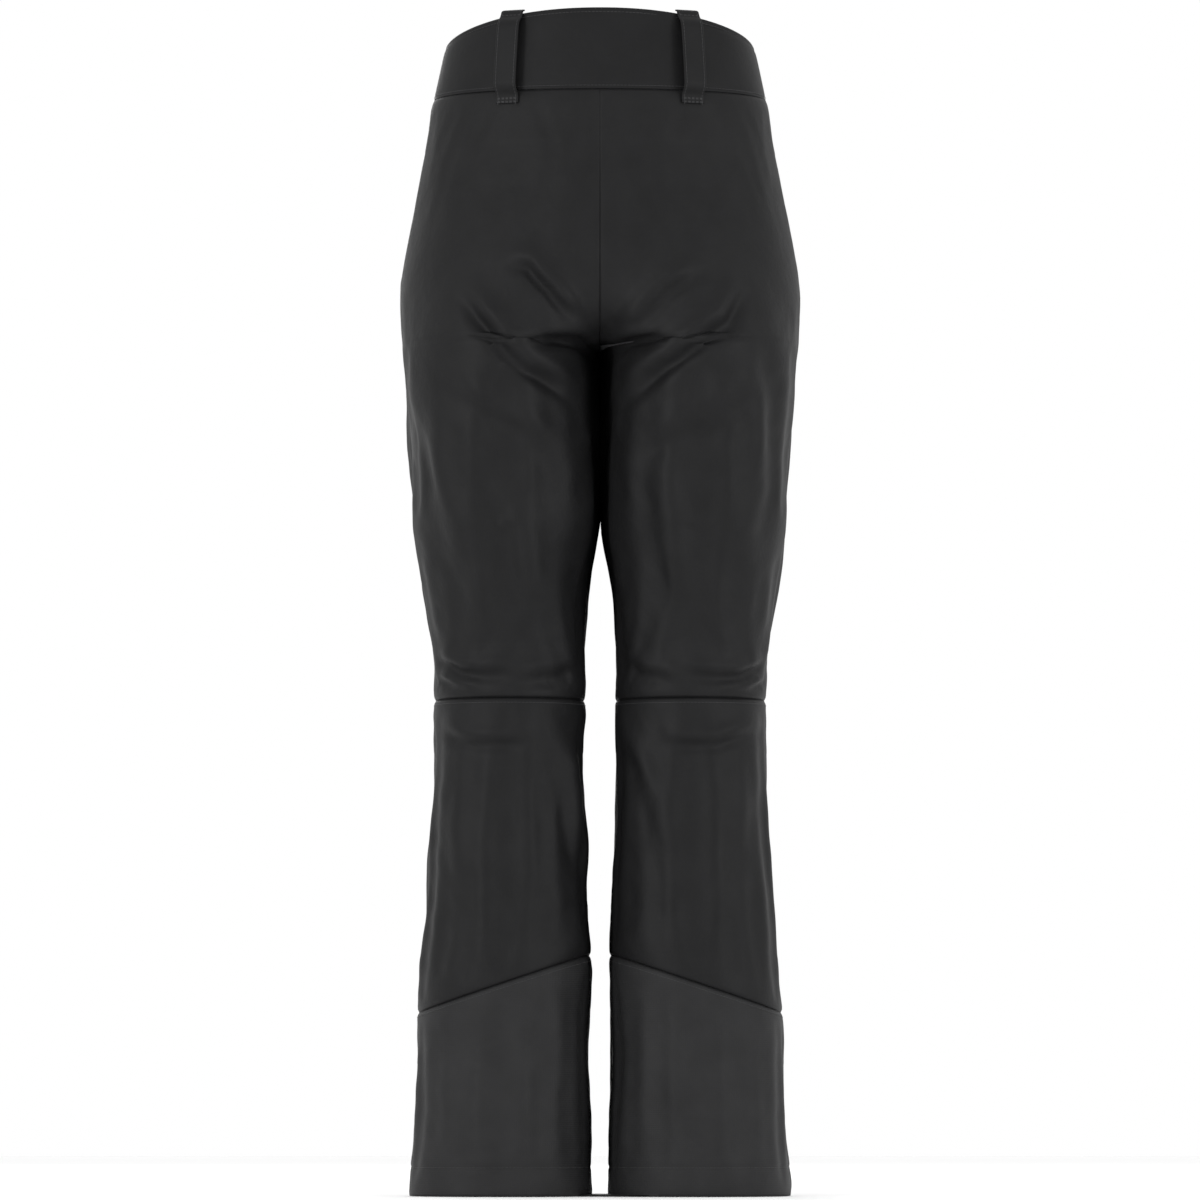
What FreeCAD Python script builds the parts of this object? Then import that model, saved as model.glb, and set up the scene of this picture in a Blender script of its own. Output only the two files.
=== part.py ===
import FreeCAD
import Part

import math
import os

# Insulated ski pants, standing as if worn. Units are millimetres.
# The origin is the middle of the waist opening, in the plane of the waist seam.
# +Z is up and the wearer faces -Y, so the wearer's left leg is on +X.

V = FreeCAD.Vector

# Heights, measured from the waist seam
rise = 232.0  # waist seam to crotch
inseam = 783.0  # crotch to the bottom of the hem
knee_above_hem = 457.0
hip_above_crotch = 27.0  # the widest part of the seat
thigh_below_crotch = 148.0
calf_above_hem = 275.0
fork_height = 142.0  # how far above the crotch the two legs start to part

# Half widths of the whole garment, seen from behind
waist_half_width = 154.5
hip_half_width = 186.5
thigh_half_width = 177.5
knee_half_width = 153.0
calf_half_width = 163.0
hem_half_width = 176.0

# Half the gap between the legs
crotch_half_gap = 0.8
thigh_half_gap = 4.0
knee_half_gap = 14.3
calf_half_gap = 9.5
hem_half_gap = 7.4

# How far the cloth stands in front of and behind the origin
waist_front, waist_back = 103.0, 107.0
hip_front, hip_back = 116.0, 135.0
thigh_front, thigh_back = 108.0, 112.0
knee_front, knee_back = 82.0, 78.0
calf_front, calf_back = 80.0, 84.0
hem_front, hem_back = 82.0, 94.0
roundness = 2.15  # exponent of the cross-section: 2 is an ellipse, more is squarer

# Layers, as depths below the outer face of the shell
shell_wall = 1.4
inner_layer_depth = 7.6  # pocket bags and the fly shield hang here
inner_layer_wall = 1.2
lining_depth = 9.2  # quilted lining with its wadding
lining_wall = 2.6

# Waistband
band_wall = 2.2
band_height_back, band_height_side, band_height_front = 80.0, 50.0, 44.0
band_lean_side, band_lean_front, band_lean_back = 0.24, 0.15, 0.11
facing_gap, facing_wall = 0.2, 1.6
tab_hinge_x = 39.6  # where the free end of the waistband bends open
tab_end_x = -18.0
underlap_end_x = 35.0
underlap_root_x = -45.0
underlap_depth, underlap_wall = 4.2, 1.8
band_gap = 0.4  # clear space round the waist tab

# Panels
side_seam_y = 0.0
joint_gap = 0.5  # clear space between shells that fold against each other
hip_fold_drop = 10.0  # the hip fold starts this far below the crotch
hip_fold_angle = 20.0
cuff_inner_height, cuff_outer_height = 222.0, 166.0  # above the hem
hem_turn_up = 26.0

# Belt loops and hanger loop
loop_width, loop_wall = 20.0, 1.8
loop_stand_off = 9.0
loop_foot, loop_slope = 7.0, 10.0
loop_below_seam = 12.0
loop_back_angle, loop_front_angle = 23.5, 152.0  # direction faced, from +Y towards +X
loop_back_top, loop_front_top = 72.0, 45.0
seat_clearance = 0.25
hanger_width, hanger_drop, hanger_wall = 8.0, 34.0, 1.4
hanger_stand_off = 7.0
hanger_top = 66.0

# Zips
teeth_inner, teeth_outer, teeth_half_thickness = 0.9, 3.1, 1.1
tape_half_width, tape_half_thickness = 13.0, 0.4
slider_half_width, slider_length, slider_plate = 4.7, 13.0, 1.2
slider_clearance = 0.4
neck_half_width = 0.5
bail_half_width, bail_half_length, bail_height = 1.2, 1.8, 2.5
pull_pin_radius, pull_hole_radius = 0.8, 1.1
pull_half_width, pull_length, pull_wall = 4.0, 27.0, 1.6
pull_fork_length = 3.5
slot_half_width = 6.0
fly_length, fly_top, fly_sink = 148.0, -5.0, 1.0
fly_slot_half_width = 5.4
shield_half_width = 26.0
pocket_length, pocket_sink = 145.0, 2.8
pocket_top_x, pocket_bottom_x = 133.0, 158.0
pocket_top_z, pocket_bottom_z = -18.0, -160.0
welt_half_width, welt_end = 11.0, 7.0
bag_below_zip, bag_width_front, bag_width_back = 45.0, 88.0, 24.0

# Press studs on the waist tab
snap_x, snap_low_z, snap_pitch = -6.0, 11.5, 20.0
cap_radius, cap_height = 6.25, 1.5
socket_radius, socket_bore, socket_height = 5.4, 2.5, 1.6
stud_radius, stud_base_radius, stud_base_wall = 2.05, 4.4, 0.7
post_radius, post_wall, stem_radius = 4.9, 0.9, 1.4

# Snow gaiters inside the hems
gaiter_top, gaiter_bottom = 185.0, 24.0  # above the hem
gaiter_clearance, gaiter_depth_bottom, gaiter_wall = 0.4, 21.0, 1.0
elastic_height, elastic_wall = 28.0, 1.5
hook_width, hook_wall, hook_reach, hook_height = 12.0, 1.4, 8.0, 15.0

FAR = 600.0  # larger than the garment, for cutting solids
crotch_z = -rise
hem_z = crotch_z - inseam
knee_z = hem_z + knee_above_hem
hip_z = crotch_z + hip_above_crotch
thigh_z = crotch_z - thigh_below_crotch
calf_z = hem_z + calf_above_hem
fork_z = crotch_z + fork_height
section_points = 16
section_step = 44.0

heights = [0.0, hip_z, thigh_z, knee_z, calf_z, hem_z]
half_widths = [waist_half_width, hip_half_width, thigh_half_width,
               knee_half_width, calf_half_width, hem_half_width]
fronts = [waist_front, hip_front, thigh_front, knee_front, calf_front, hem_front]
backs = [waist_back, hip_back, thigh_back, knee_back, calf_back, hem_back]
gap_heights = [crotch_z, thigh_z, knee_z, calf_z, hem_z]
half_gaps = [crotch_half_gap, thigh_half_gap, knee_half_gap, calf_half_gap, hem_half_gap]


def smooth(z, at, values):
    """A curve through values at descending heights that never overshoots them."""
    if z >= at[0]:
        return values[0] + (values[1] - values[0]) / (at[1] - at[0]) * (z - at[0])
    if z <= at[-1]:
        return values[-1] + (values[-2] - values[-1]) / (at[-2] - at[-1]) * (z - at[-1])
    slopes = [(values[i + 1] - values[i]) / (at[i + 1] - at[i]) for i in range(len(at) - 1)]
    tangents = [slopes[0]]
    for before, after in zip(slopes, slopes[1:]):
        tangents.append(0.0 if before * after <= 0 else 2 * before * after / (before + after))
    tangents.append(slopes[-1])
    i = next(k for k in range(len(slopes)) if z >= at[k + 1])
    span = at[i + 1] - at[i]
    t = (z - at[i]) / span
    return ((1 + 2 * t) * (1 - t) ** 2 * values[i] + t * (1 - t) ** 2 * span * tangents[i]
            + t * t * (3 - 2 * t) * values[i + 1] + t * t * (t - 1) * span * tangents[i + 1])


def ring_point(x_mid, outer, inner, front, back, angle):
    """A point on a rounded section: outer and inner are its reaches along X from x_mid."""
    c, s = math.cos(angle), math.sin(angle)
    x = math.copysign(abs(c) ** (2 / roundness), c) * (outer if c > 0 else inner)
    y = math.copysign(abs(s) ** (2 / roundness), s) * (back if s > 0 else front)
    return x_mid + x, y


def leg_size(z, depth):
    """Middle and reaches of the left side's section at a height, depth below the shell's face."""
    edge = smooth(z, heights, half_widths)
    front = smooth(z, heights, fronts) - depth
    back = smooth(z, heights, backs) - depth
    if z <= crotch_z:
        gap = smooth(z, gap_heights, half_gaps)
        mid = (edge + gap) / 2
        return mid, edge - mid - depth, mid - gap - depth, front, back
    t = min(1.0, (z - crotch_z) / (fork_z - crotch_z))
    mid = (smooth(crotch_z, heights, half_widths) + crotch_half_gap) / 2 * (1 - t)
    inner_x = crotch_half_gap * (1 - t) - edge * t ** 0.8
    return mid, edge - mid - depth, mid - inner_x - depth, front, back


def closed_curve(points):
    """Every section shares the same evenly spaced knots, which keeps the lofted faces light."""
    curve = Part.BSplineCurve()
    knots = [k / len(points) for k in range(len(points) + 1)]
    curve.interpolate(Points=points, Parameters=knots, PeriodicFlag=True)
    return Part.Wire([curve.toShape()])


def leg_wire(z, depth):
    size = leg_size(z, depth)
    angles = [2 * math.pi * (k + 0.5) / section_points for k in range(section_points)]
    return closed_curve([V(*ring_point(*size, a), z) for a in angles])


def leg_loft(depth, top=None, bottom=None):
    """The solid inside the left side of the pants. depth is a number, or a function of height."""
    top = 8.0 if top is None else top
    bottom = hem_z - 8.0 if bottom is None else bottom
    depth_at = depth if callable(depth) else lambda z: depth
    count = max(2, math.ceil((top - bottom) / section_step))
    levels = [top + (bottom - top) * i / count for i in range(count + 1)]
    return Part.makeLoft([leg_wire(z, depth_at(z)) for z in levels], True, False)


def band_size(z, depth):
    side = waist_half_width - band_lean_side * z - depth
    front = waist_front - band_lean_front * z - depth
    return 0.0, side, side, front, waist_back - band_lean_back * z - depth


def band_wire(z, depth):
    size = band_size(z, depth)
    angles = [2 * math.pi * k / section_points for k in range(section_points)]
    return closed_curve([V(*ring_point(*size, a), z) for a in angles])


def band_loft(depth):
    return Part.makeLoft([band_wire(z, depth) for z in (0.0, band_height_back + 10)], True, True)


def block(x0, x1, y0, y1, z0, z1):
    return Part.makeBox(x1 - x0, y1 - y0, z1 - z0, V(x0, y0, z0))


def half_space(point, normal):
    """A large block on the side of a plane that normal points to."""
    body = Part.makeBox(2 * FAR * 2, 2 * FAR * 2, 2 * FAR * 2, V(-2 * FAR, -2 * FAR, 0))
    turn = FreeCAD.Rotation(V(0, 0, 1), normal)
    body.Placement = FreeCAD.Placement(point, turn)
    return body


def fold_z(x):
    """Height of the hip fold at a distance from the middle."""
    return crotch_z - hip_fold_drop + x * math.tan(math.radians(hip_fold_angle))


def cuff_z(x):
    """Height of the slanting seam above the cuff: higher on the inner side of the leg."""
    share = (x - hem_half_gap) / (hem_half_width - hem_half_gap)
    return hem_z + cuff_inner_height + (cuff_outer_height - cuff_inner_height) * share


def slanted(height, shift, side):
    """Half space above (side 1) or below (side -1) a plane whose height depends on x only."""
    a, b = V(0, 0, height(0.0) + shift), V(100, 0, height(100.0) + shift)
    normal = V(-(b - a).z, 0, (b - a).x)
    return half_space(a, normal * side)


def mirrored(shape):
    return shape.mirror(V(0, 0, 0), V(1, 0, 0))


def solids_of(shape):
    kept = [s for s in shape.Solids if s.Volume > 0.5]
    return kept[0] if len(kept) == 1 else Part.makeCompound(kept)


def regions():
    """Where each cut piece of the left side lies, as solids that share only faces."""
    left = block(0, FAR, -FAR, FAR, -2 * FAR, FAR)
    apart = block(joint_gap, FAR, -FAR, FAR, -2 * FAR, FAR)
    low, high = -joint_gap / 2, joint_gap / 2
    seat = left.common(slanted(fold_z, high, 1)).common(block(0, FAR, -FAR, FAR, -FAR, 0))
    thigh = apart.common(slanted(fold_z, low, -1)).common(
        block(0, FAR, -FAR, FAR, knee_z + high, FAR))
    shin = apart.common(block(0, FAR, -FAR, FAR, hem_z, knee_z + low))
    return {"seat": seat, "thigh": thigh, "shin": shin,
            "calf": shin.common(slanted(cuff_z, 0, 1)),
            "cuff": shin.common(slanted(cuff_z, 0, -1)),
            "front": block(0, FAR, -FAR, side_seam_y, -2 * FAR, FAR),
            "back": block(0, FAR, side_seam_y, FAR, -2 * FAR, FAR)}


def frame_at(origin, outward, up):
    """A placement whose Y points outward, whose Z points up along a zip and whose X is across."""
    up = V(up).normalize()
    outward = V(outward)
    outward = (outward - up * outward.dot(up)).normalize()
    across = outward.cross(up)
    matrix = FreeCAD.Matrix(across.x, outward.x, up.x, origin.x,
                            across.y, outward.y, up.y, origin.y,
                            across.z, outward.z, up.z, origin.z, 0, 0, 0, 1)
    return FreeCAD.Placement(matrix)


def placed(shape, placement):
    moved = shape.copy()
    moved.Placement = placement.multiply(moved.Placement)
    return moved


def zip_teeth(length):
    thick = teeth_half_thickness
    rows = [block(teeth_inner, teeth_outer, -thick, thick, -length, -1.0),
            block(-teeth_outer, -teeth_inner, -thick, thick, -length, -1.0)]
    stop = block(-teeth_outer, teeth_outer, -thick, thick, -length - 2.5, -length)
    return rows + [stop]


def zip_tapes(length):
    thick = tape_half_thickness
    return [block(side * teeth_outer if side > 0 else -tape_half_width,
                  tape_half_width if side > 0 else -teeth_outer,
                  -thick, thick, -length - 4.0, 3.0) for side in (1, -1)]


def zip_slider():
    """Two plates joined by a neck between the rows, with flanges and a bail on top."""
    inside = teeth_half_thickness + slider_clearance
    outside = inside + slider_plate
    lip = tape_half_thickness + slider_clearance
    low, high = -slider_length - 1.0, -1.0
    edge = teeth_outer + slider_clearance
    body = block(-slider_half_width, slider_half_width, inside, outside, low, high)
    body = body.fuse(block(-slider_half_width, slider_half_width, -outside, -inside, low, high))
    for side in (1, -1):
        x0, x1 = sorted((side * edge, side * slider_half_width))
        body = body.fuse(block(x0, x1, lip, inside, low, high))
        body = body.fuse(block(x0, x1, -inside, -lip, low, high))
    body = body.fuse(block(-neck_half_width, neck_half_width, -inside, inside, high - 3.5, high))
    pivot = pull_pivot()
    bail = block(-bail_half_width, bail_half_width, outside, outside + bail_height,
                 pivot.z - bail_half_length, pivot.z + bail_half_length)
    hole = Part.makeCylinder(pull_hole_radius, 2 * FAR, V(-FAR, pivot.y, pivot.z), V(1, 0, 0))
    body = body.fuse(bail).cut(hole).removeSplitter()
    corners = [e for e in body.Edges if e.BoundBox.XLength < 1e-6 and e.BoundBox.ZLength < 1e-6
               and abs(abs(e.BoundBox.XMin) - slider_half_width) < 1e-6]
    return body.makeFillet(1.4, corners)


def pull_pivot():
    outside = teeth_half_thickness + slider_clearance + slider_plate
    return V(0, outside + bail_height / 2 - 0.05, -1.0 - slider_length * 0.65)


def zip_pull():
    """A tab that hangs from a pin through the slider's bail."""
    pivot = pull_pivot()
    pin = Part.makeCylinder(pull_pin_radius, 2 * pull_half_width,
                            V(-pull_half_width, pivot.y, pivot.z), V(1, 0, 0))
    y0, y1 = pivot.y - pull_wall / 2, pivot.y + pull_wall / 2
    body = pin
    for side in (1, -1):
        x0, x1 = sorted((side * (bail_half_width + 0.5), side * pull_half_width))
        body = body.fuse(block(x0, x1, y0, y1, pivot.z - pull_fork_length, pivot.z))
    tab = block(-pull_half_width, pull_half_width, y0, y1,
                pivot.z - pull_length, pivot.z - pull_fork_length)
    ends = [e for e in tab.Edges if abs(e.Length - pull_wall) < 1e-6
            and e.BoundBox.ZMax < pivot.z - pull_length + 1e-6]
    return body.fuse(tab.makeFillet(2.5, ends)).removeSplitter()


def fly_frame():
    """The fly zip lies on the straight line between the two ends of its slot."""
    top, bottom = fly_top, fly_top - fly_length
    y_top = -smooth(top, heights, fronts)
    y_bottom = -smooth(bottom, heights, fronts)
    up = V(0, y_top - y_bottom, top - bottom)
    middle = -smooth((top + bottom) / 2, heights, fronts)
    bulge = (y_top + y_bottom) / 2 - middle
    origin = V(0, y_top - bulge / 2 + fly_sink, top)
    return frame_at(origin, V(0, -1, 0), up)


def surface_y(x, z):
    """Y of the shell's outer face on the front of the hip."""
    mid, outer, _, front, _ = leg_size(z, 0.0)
    share = min(1.0, max(0.0, (x - mid) / outer))
    return -front * (1 - share ** roundness) ** (1 / roundness)


def pocket_frame():
    """The pocket zip lies along the front of the hip, just ahead of the side seam."""
    top = V(pocket_top_x, surface_y(pocket_top_x, pocket_top_z), pocket_top_z)
    bottom = V(pocket_bottom_x, surface_y(pocket_bottom_x, pocket_bottom_z), pocket_bottom_z)
    mid_z = (pocket_top_z + pocket_bottom_z) / 2
    mid_x = (pocket_top_x + pocket_bottom_x) / 2
    step = 2.0
    along = V(step, surface_y(mid_x + step, mid_z) - surface_y(mid_x, mid_z), 0)
    up = top - bottom
    outward = up.cross(along).normalize()
    if outward.x < 0:
        outward = outward * -1
    middle = V(mid_x, surface_y(mid_x, mid_z), mid_z)
    bulge = (middle - (top + bottom) / 2).dot(outward)
    origin = top + outward * (bulge / 2 - pocket_sink)
    return frame_at(origin, outward, up)


def support(size, nx, ny):
    """The furthest reach of a section in a direction, and where it is."""
    points = [ring_point(*size, 2 * math.pi * k / 720) for k in range(720)]
    return max((x * nx + y * ny, x, y) for x, y in points)


def outer_reach(z, nx, ny):
    size = band_size(z, 0.0) if z >= 0 else leg_size(z, 0.0)
    return support(size, nx, ny)


def belt_loop(angle, top):
    """A strap sewn flat at both ends that stands off the waistband in between."""
    nx, ny = math.sin(math.radians(angle)), math.cos(math.radians(angle))
    low = -loop_below_seam
    feet = [(low, 0.0), (low + loop_foot, 0.0), (low + loop_foot + loop_slope, loop_stand_off),
            (top - loop_foot - loop_slope, loop_stand_off), (top - loop_foot, 0.0), (top, 0.0)]
    inner = []
    for z, off in feet:
        steps = [outer_reach(z + d, nx, ny)[0] for d in (-4.0, 0.0, 4.0)]
        inner.append((max(steps) + seat_clearance + off, z))
    profile = [V(r, 0, z) for r, z in inner] + [V(r + loop_wall, 0, z) for r, z in inner[::-1]]
    face = Part.Face(Part.makePolygon(profile + profile[:1]))
    strap = face.extrude(V(0, loop_width, 0))
    strap.translate(V(0, -loop_width / 2, 0))
    _, x, y = outer_reach(top / 2, nx, ny)
    tangent = -x * ny + y * nx
    strap.translate(V(0, tangent, 0))
    turn = FreeCAD.Rotation(V(0, 0, 1), 90.0 - angle)
    strap.Placement = FreeCAD.Placement(V(0, 0, 0), turn).multiply(strap.Placement)
    return strap


def hanger_loop():
    """A narrow tape loop inside the back of the waistband, to hang the pants by."""
    depth = band_wall + facing_gap + facing_wall + seat_clearance
    face_y = [band_size(z, depth)[4] for z in (hanger_top - hanger_drop, hanger_top)]
    wall = min(face_y) - 0.1
    low, high = hanger_top - hanger_drop, hanger_top
    off = hanger_stand_off
    path = [(wall, high), (wall, high - 5), (wall - off, high - 10), (wall - off, low + 10),
            (wall, low + 5), (wall, low)]
    profile = [V(0, y, z) for y, z in path] + [V(0, y - hanger_wall, z) for y, z in path[::-1]]
    loop = Part.Face(Part.makePolygon(profile + profile[:1])).extrude(V(hanger_width, 0, 0))
    loop.translate(V(-hanger_width / 2, 0, 0))
    return loop


def band_parts():
    """The waistband, its facing, the free end that opens and the underlap below it."""
    arc = Part.Arc(V(-FAR / 4, -band_size(0, 0)[3], band_height_front),
                   V(-FAR / 4, 0, band_height_side),
                   V(-FAR / 4, band_size(0, 0)[4], band_height_back)).toShape()
    start, end = arc.Vertexes[0].Point, arc.Vertexes[1].Point
    lead = Part.makeLine(V(start.x, start.y - 20, start.z), start)
    trail = Part.makeLine(end, V(end.x, end.y + 20, end.z))
    top = [V(end.x, end.y + 20, FAR), V(end.x, start.y - 20, FAR)]
    outline = Part.Wire([lead, arc, trail, Part.makeLine(V(end.x, end.y + 20, end.z), top[0]),
                         Part.makeLine(top[0], top[1]),
                         Part.makeLine(top[1], V(start.x, start.y - 20, start.z))])
    above = Part.Face(outline).extrude(V(FAR / 2, 0, 0))
    depths = {name: band_loft(d).cut(above) for name, d in (
        ("face", 0.0), ("back", band_wall), ("facing", band_wall + facing_gap),
        ("inside", band_wall + facing_gap + facing_wall), ("under", underlap_depth),
        ("under_back", underlap_depth + underlap_wall))}
    ring = depths["face"].cut(depths["back"])
    front = block(-FAR, FAR, -FAR, side_seam_y, -1, FAR)
    back = block(-FAR, FAR, side_seam_y, FAR, -1, FAR)
    tab_zone = block(tab_end_x, tab_hinge_x - band_gap / 2, -FAR, 0, band_gap, FAR)
    left_zone = block(tab_hinge_x + band_gap / 2, FAR, -FAR, FAR, -1, FAR)
    right_zone = block(-FAR, tab_end_x - band_gap, -FAR, FAR, -1, FAR)
    under_zone = block(underlap_root_x, underlap_end_x, -FAR, 0, 2.0, FAR)
    join_zone = block(underlap_root_x, tab_end_x - band_gap, -FAR, 0, 2.0, FAR)
    under = depths["under"].cut(depths["under_back"]).common(under_zone)
    join = depths["back"].cut(depths["under"]).common(join_zone)
    facing = depths["facing"].cut(depths["inside"])
    facing = facing.cut(block(underlap_root_x - 2, tab_hinge_x, -FAR, 0, -1, FAR))
    return {"waistband_back": ring.common(back),
            "waistband_front_left": ring.common(front).common(left_zone),
            "waistband_front_right":
                ring.common(front).common(right_zone).fuse(join).fuse(under).removeSplitter(),
            "waist_tab": ring.common(tab_zone),
            "waistband_facing": facing}


def snap_parts():
    """Press studs: a cap and socket on the waist tab, a stud and post on the underlap."""
    parts = {"snap_caps": [], "snap_sockets": [], "snap_studs": [], "snap_posts": []}
    outward = V(0, -1, band_lean_front).normalize()
    for z in (snap_low_z, snap_low_z + snap_pitch):
        centre = V(snap_x, -band_size(z, 0.0)[3], z)

        def disc(radius, depth0, depth1):
            start = centre - outward * depth1
            return Part.makeCylinder(radius, depth1 - depth0, start, outward)

        cap = disc(cap_radius, -cap_height, 0.3)
        rim = [e for e in cap.Edges if abs(e.BoundBox.YMin - cap.BoundBox.YMin) < 0.2
               and e.Closed and e.Length > 10][:1]
        cap = cap.makeFillet(1.1, rim)
        deep = band_wall + socket_height
        socket = disc(socket_radius, band_wall, deep).cut(disc(socket_bore, band_wall - 1, deep + 1))
        base = disc(stud_base_radius, underlap_depth, underlap_depth + stud_base_wall)
        stud = base.fuse(disc(stud_radius, band_wall + 0.5, underlap_depth + 0.1)).removeSplitter()
        back = underlap_depth + underlap_wall
        stem = disc(stem_radius, underlap_depth + stud_base_wall, back + 0.1)
        post = disc(post_radius, back, back + post_wall).fuse(stem).removeSplitter()
        for name, solid in (("snap_caps", cap), ("snap_sockets", socket),
                            ("snap_studs", stud), ("snap_posts", post)):
            parts[name].append(solid)
    return {name: Part.makeCompound(solids) for name, solids in parts.items()}


def gaiter_depth(extra):
    """Depth of the gaiter, sewn inside the lining at its top and narrowing to the boot."""
    sewn_at = lining_depth + lining_wall + gaiter_clearance

    def depth(z):
        share = (hem_z + gaiter_top - z) / (gaiter_top - gaiter_bottom)
        share = min(1.0, max(0.0, share))
        return sewn_at + (gaiter_depth_bottom - sewn_at) * share + extra
    return depth


def gaiter_parts():
    """The inner cuff that seals on the boot, its elastic and the hook for the boot's laces."""
    top, bottom = hem_z + gaiter_top, hem_z + gaiter_bottom
    skirt = leg_loft(gaiter_depth(0.0), top, bottom).cut(leg_loft(gaiter_depth(gaiter_wall),
                                                                 top, bottom))
    low = (bottom + elastic_height, bottom)
    elastic = leg_loft(gaiter_depth(gaiter_wall), *low).cut(
        leg_loft(gaiter_depth(gaiter_wall + elastic_wall), *low))
    mid, _, _, front, _ = leg_size(bottom, gaiter_depth_bottom + gaiter_wall + elastic_wall)
    y = -front + seat_clearance + 1.2
    z0 = bottom - 3.0
    outline = [V(mid, y, z0 + hook_height), V(mid, y, z0), V(mid, y + hook_reach, z0),
               V(mid, y + hook_reach, z0 + hook_height * 0.5),
               V(mid, y + hook_reach - hook_wall, z0 + hook_height * 0.5),
               V(mid, y + hook_reach - hook_wall, z0 + hook_wall),
               V(mid, y + hook_wall, z0 + hook_wall), V(mid, y + hook_wall, z0 + hook_height)]
    hook = Part.Face(Part.makePolygon(outline + outline[:1])).extrude(V(hook_width, 0, 0))
    hook.translate(V(-hook_width / 2, 0, 0))
    return {"gaiter": skirt, "gaiter_elastic": elastic, "boot_hook": hook}


def side_parts():
    """The sewn pieces of the left side, before the openings in them are cut."""
    shell, under_shell = leg_loft(0.0), leg_loft(shell_wall)
    layer = leg_loft(inner_layer_depth).cut(leg_loft(inner_layer_depth + inner_layer_wall))
    quilt = leg_loft(lining_depth).cut(leg_loft(lining_depth + lining_wall))
    wall = shell.cut(under_shell)
    zone = regions()
    made = {}
    for name, area, face in (("seat_panel", "seat", "back"), ("hip_panel", "seat", "front"),
                             ("thigh_back", "thigh", "back"), ("thigh_front", "thigh", "front"),
                             ("calf_panel", "calf", "back"), ("shin_panel", "calf", "front")):
        made[name] = wall.common(zone[area]).common(zone[face])
    turn_up = block(0, FAR, -FAR, FAR, hem_z, hem_z + hem_turn_up)
    fold = under_shell.common(turn_up).cut(leg_loft(2 * shell_wall))
    made["cuff"] = wall.common(zone["cuff"]).fuse(fold).removeSplitter()
    made["lining_seat"] = quilt.common(zone["seat"])
    made["lining_thigh"] = quilt.common(zone["thigh"])
    above_hem = block(0, FAR, -FAR, FAR, hem_z + hem_turn_up + 2, FAR)
    made["lining_shin"] = quilt.common(zone["shin"]).common(above_hem)
    made.update(gaiter_parts())
    return made, shell, wall, layer


def pocket_parts(wall, layer):
    """The left hand pocket: welt, tapes, teeth, slider, pull tab and bag, and its opening."""
    frame = pocket_frame()
    opening = block(-welt_half_width, welt_half_width, -8, 12,
                    -pocket_length - welt_end, welt_end)
    slot = block(-slot_half_width, slot_half_width, -9, 13, -pocket_length - 3.0, 3.5)
    opening, slot = placed(opening, frame), placed(slot, frame)
    welt = wall.common(opening).cut(slot)
    tapes = placed(Part.makeCompound(zip_tapes(pocket_length)), frame)
    bag_zone = block(-bag_width_back, bag_width_front, -30, 12,
                     -pocket_length - bag_below_zip, 6.0)
    above_fold = block(-FAR, FAR, -FAR, FAR, fold_z(pocket_top_x) + 12.0, 0)
    return {"pocket_welt": welt, "pocket_zip_tapes": tapes.cut(wall),
            "pocket_zip_teeth": placed(Part.makeCompound(zip_teeth(pocket_length)), frame),
            "pocket_slider": placed(zip_slider(), frame), "pocket_pull": placed(zip_pull(), frame),
            "pocket_bag": layer.common(placed(bag_zone, frame)).common(above_fold)}, opening


def fly_parts(layer):
    frame = fly_frame()
    half = layer.common(block(0, shield_half_width, -FAR, 0, fly_top - fly_length - 10, -0.5))
    return {"fly_zip_tapes": placed(Part.makeCompound(zip_tapes(fly_length)), frame),
            "fly_zip_teeth": placed(Part.makeCompound(zip_teeth(fly_length)), frame),
            "fly_slider": placed(zip_slider(), frame), "fly_pull": placed(zip_pull(), frame),
            "fly_shield": half.fuse(mirrored(half)).removeSplitter()}


def build():
    made, shell, wall, layer = side_parts()
    fly = fly_parts(layer)
    pocket, pocket_opening = pocket_parts(wall, layer)
    fly_slot = placed(block(-fly_slot_half_width, fly_slot_half_width, -20, 20,
                            -fly_length - 3.5, FAR), fly_frame())
    hip = made["hip_panel"].cut(pocket_opening).cut(fly_slot)
    made["hip_panel"] = hip.cut(fly["fly_zip_tapes"])
    made.update(pocket)
    made["belt_loop_back"] = belt_loop(loop_back_angle, loop_back_top).cut(shell)
    made["belt_loop_front"] = belt_loop(loop_front_angle, loop_front_top).cut(shell)
    seat_half = made.pop("lining_seat")
    fly_room = block(-shield_half_width - 3, shield_half_width + 3, -FAR, -20,
                     fly_top - fly_length - 14, FAR)
    parts = dict(fly)
    parts["lining_seat"] = seat_half.fuse(mirrored(seat_half)).removeSplitter().cut(fly_room)
    for name, shape in made.items():
        parts[name + "_left"] = shape
        parts[name + "_right"] = mirrored(shape)
    bands, snaps = band_parts(), snap_parts()
    bands["waist_tab"] = bands["waist_tab"].cut(snaps["snap_caps"]).cut(snaps["snap_sockets"])
    under = bands["waistband_front_right"]
    bands["waistband_front_right"] = under.cut(snaps["snap_studs"]).cut(snaps["snap_posts"])
    parts.update(bands)
    parts.update(snaps)
    parts["hanger_loop"] = hanger_loop()
    return parts


def main():
    os.makedirs("parts", exist_ok=True)
    for name, shape in sorted(build().items()):
        solid = solids_of(shape)
        solid.exportStep(f"parts/{name}.step")
        print(f"{name}: {len(solid.Solids)} solid(s), {solid.Volume / 1000:.2f} cm3, "
              f"valid {solid.isValid()}")
    fly, pocket = fly_frame(), pocket_frame()
    pivot = pull_pivot()
    for name, frame in (("fly", fly), ("pocket_left", pocket)):
        print(name, "pivot", frame.multVec(pivot), "across", frame.Rotation.multVec(V(1, 0, 0)),
              "up", frame.Rotation.multVec(V(0, 0, 1)))


main()
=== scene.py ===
"""Insulated ski pants: the cloth, padding and trims worn by the fixed frame."""

import math

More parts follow.
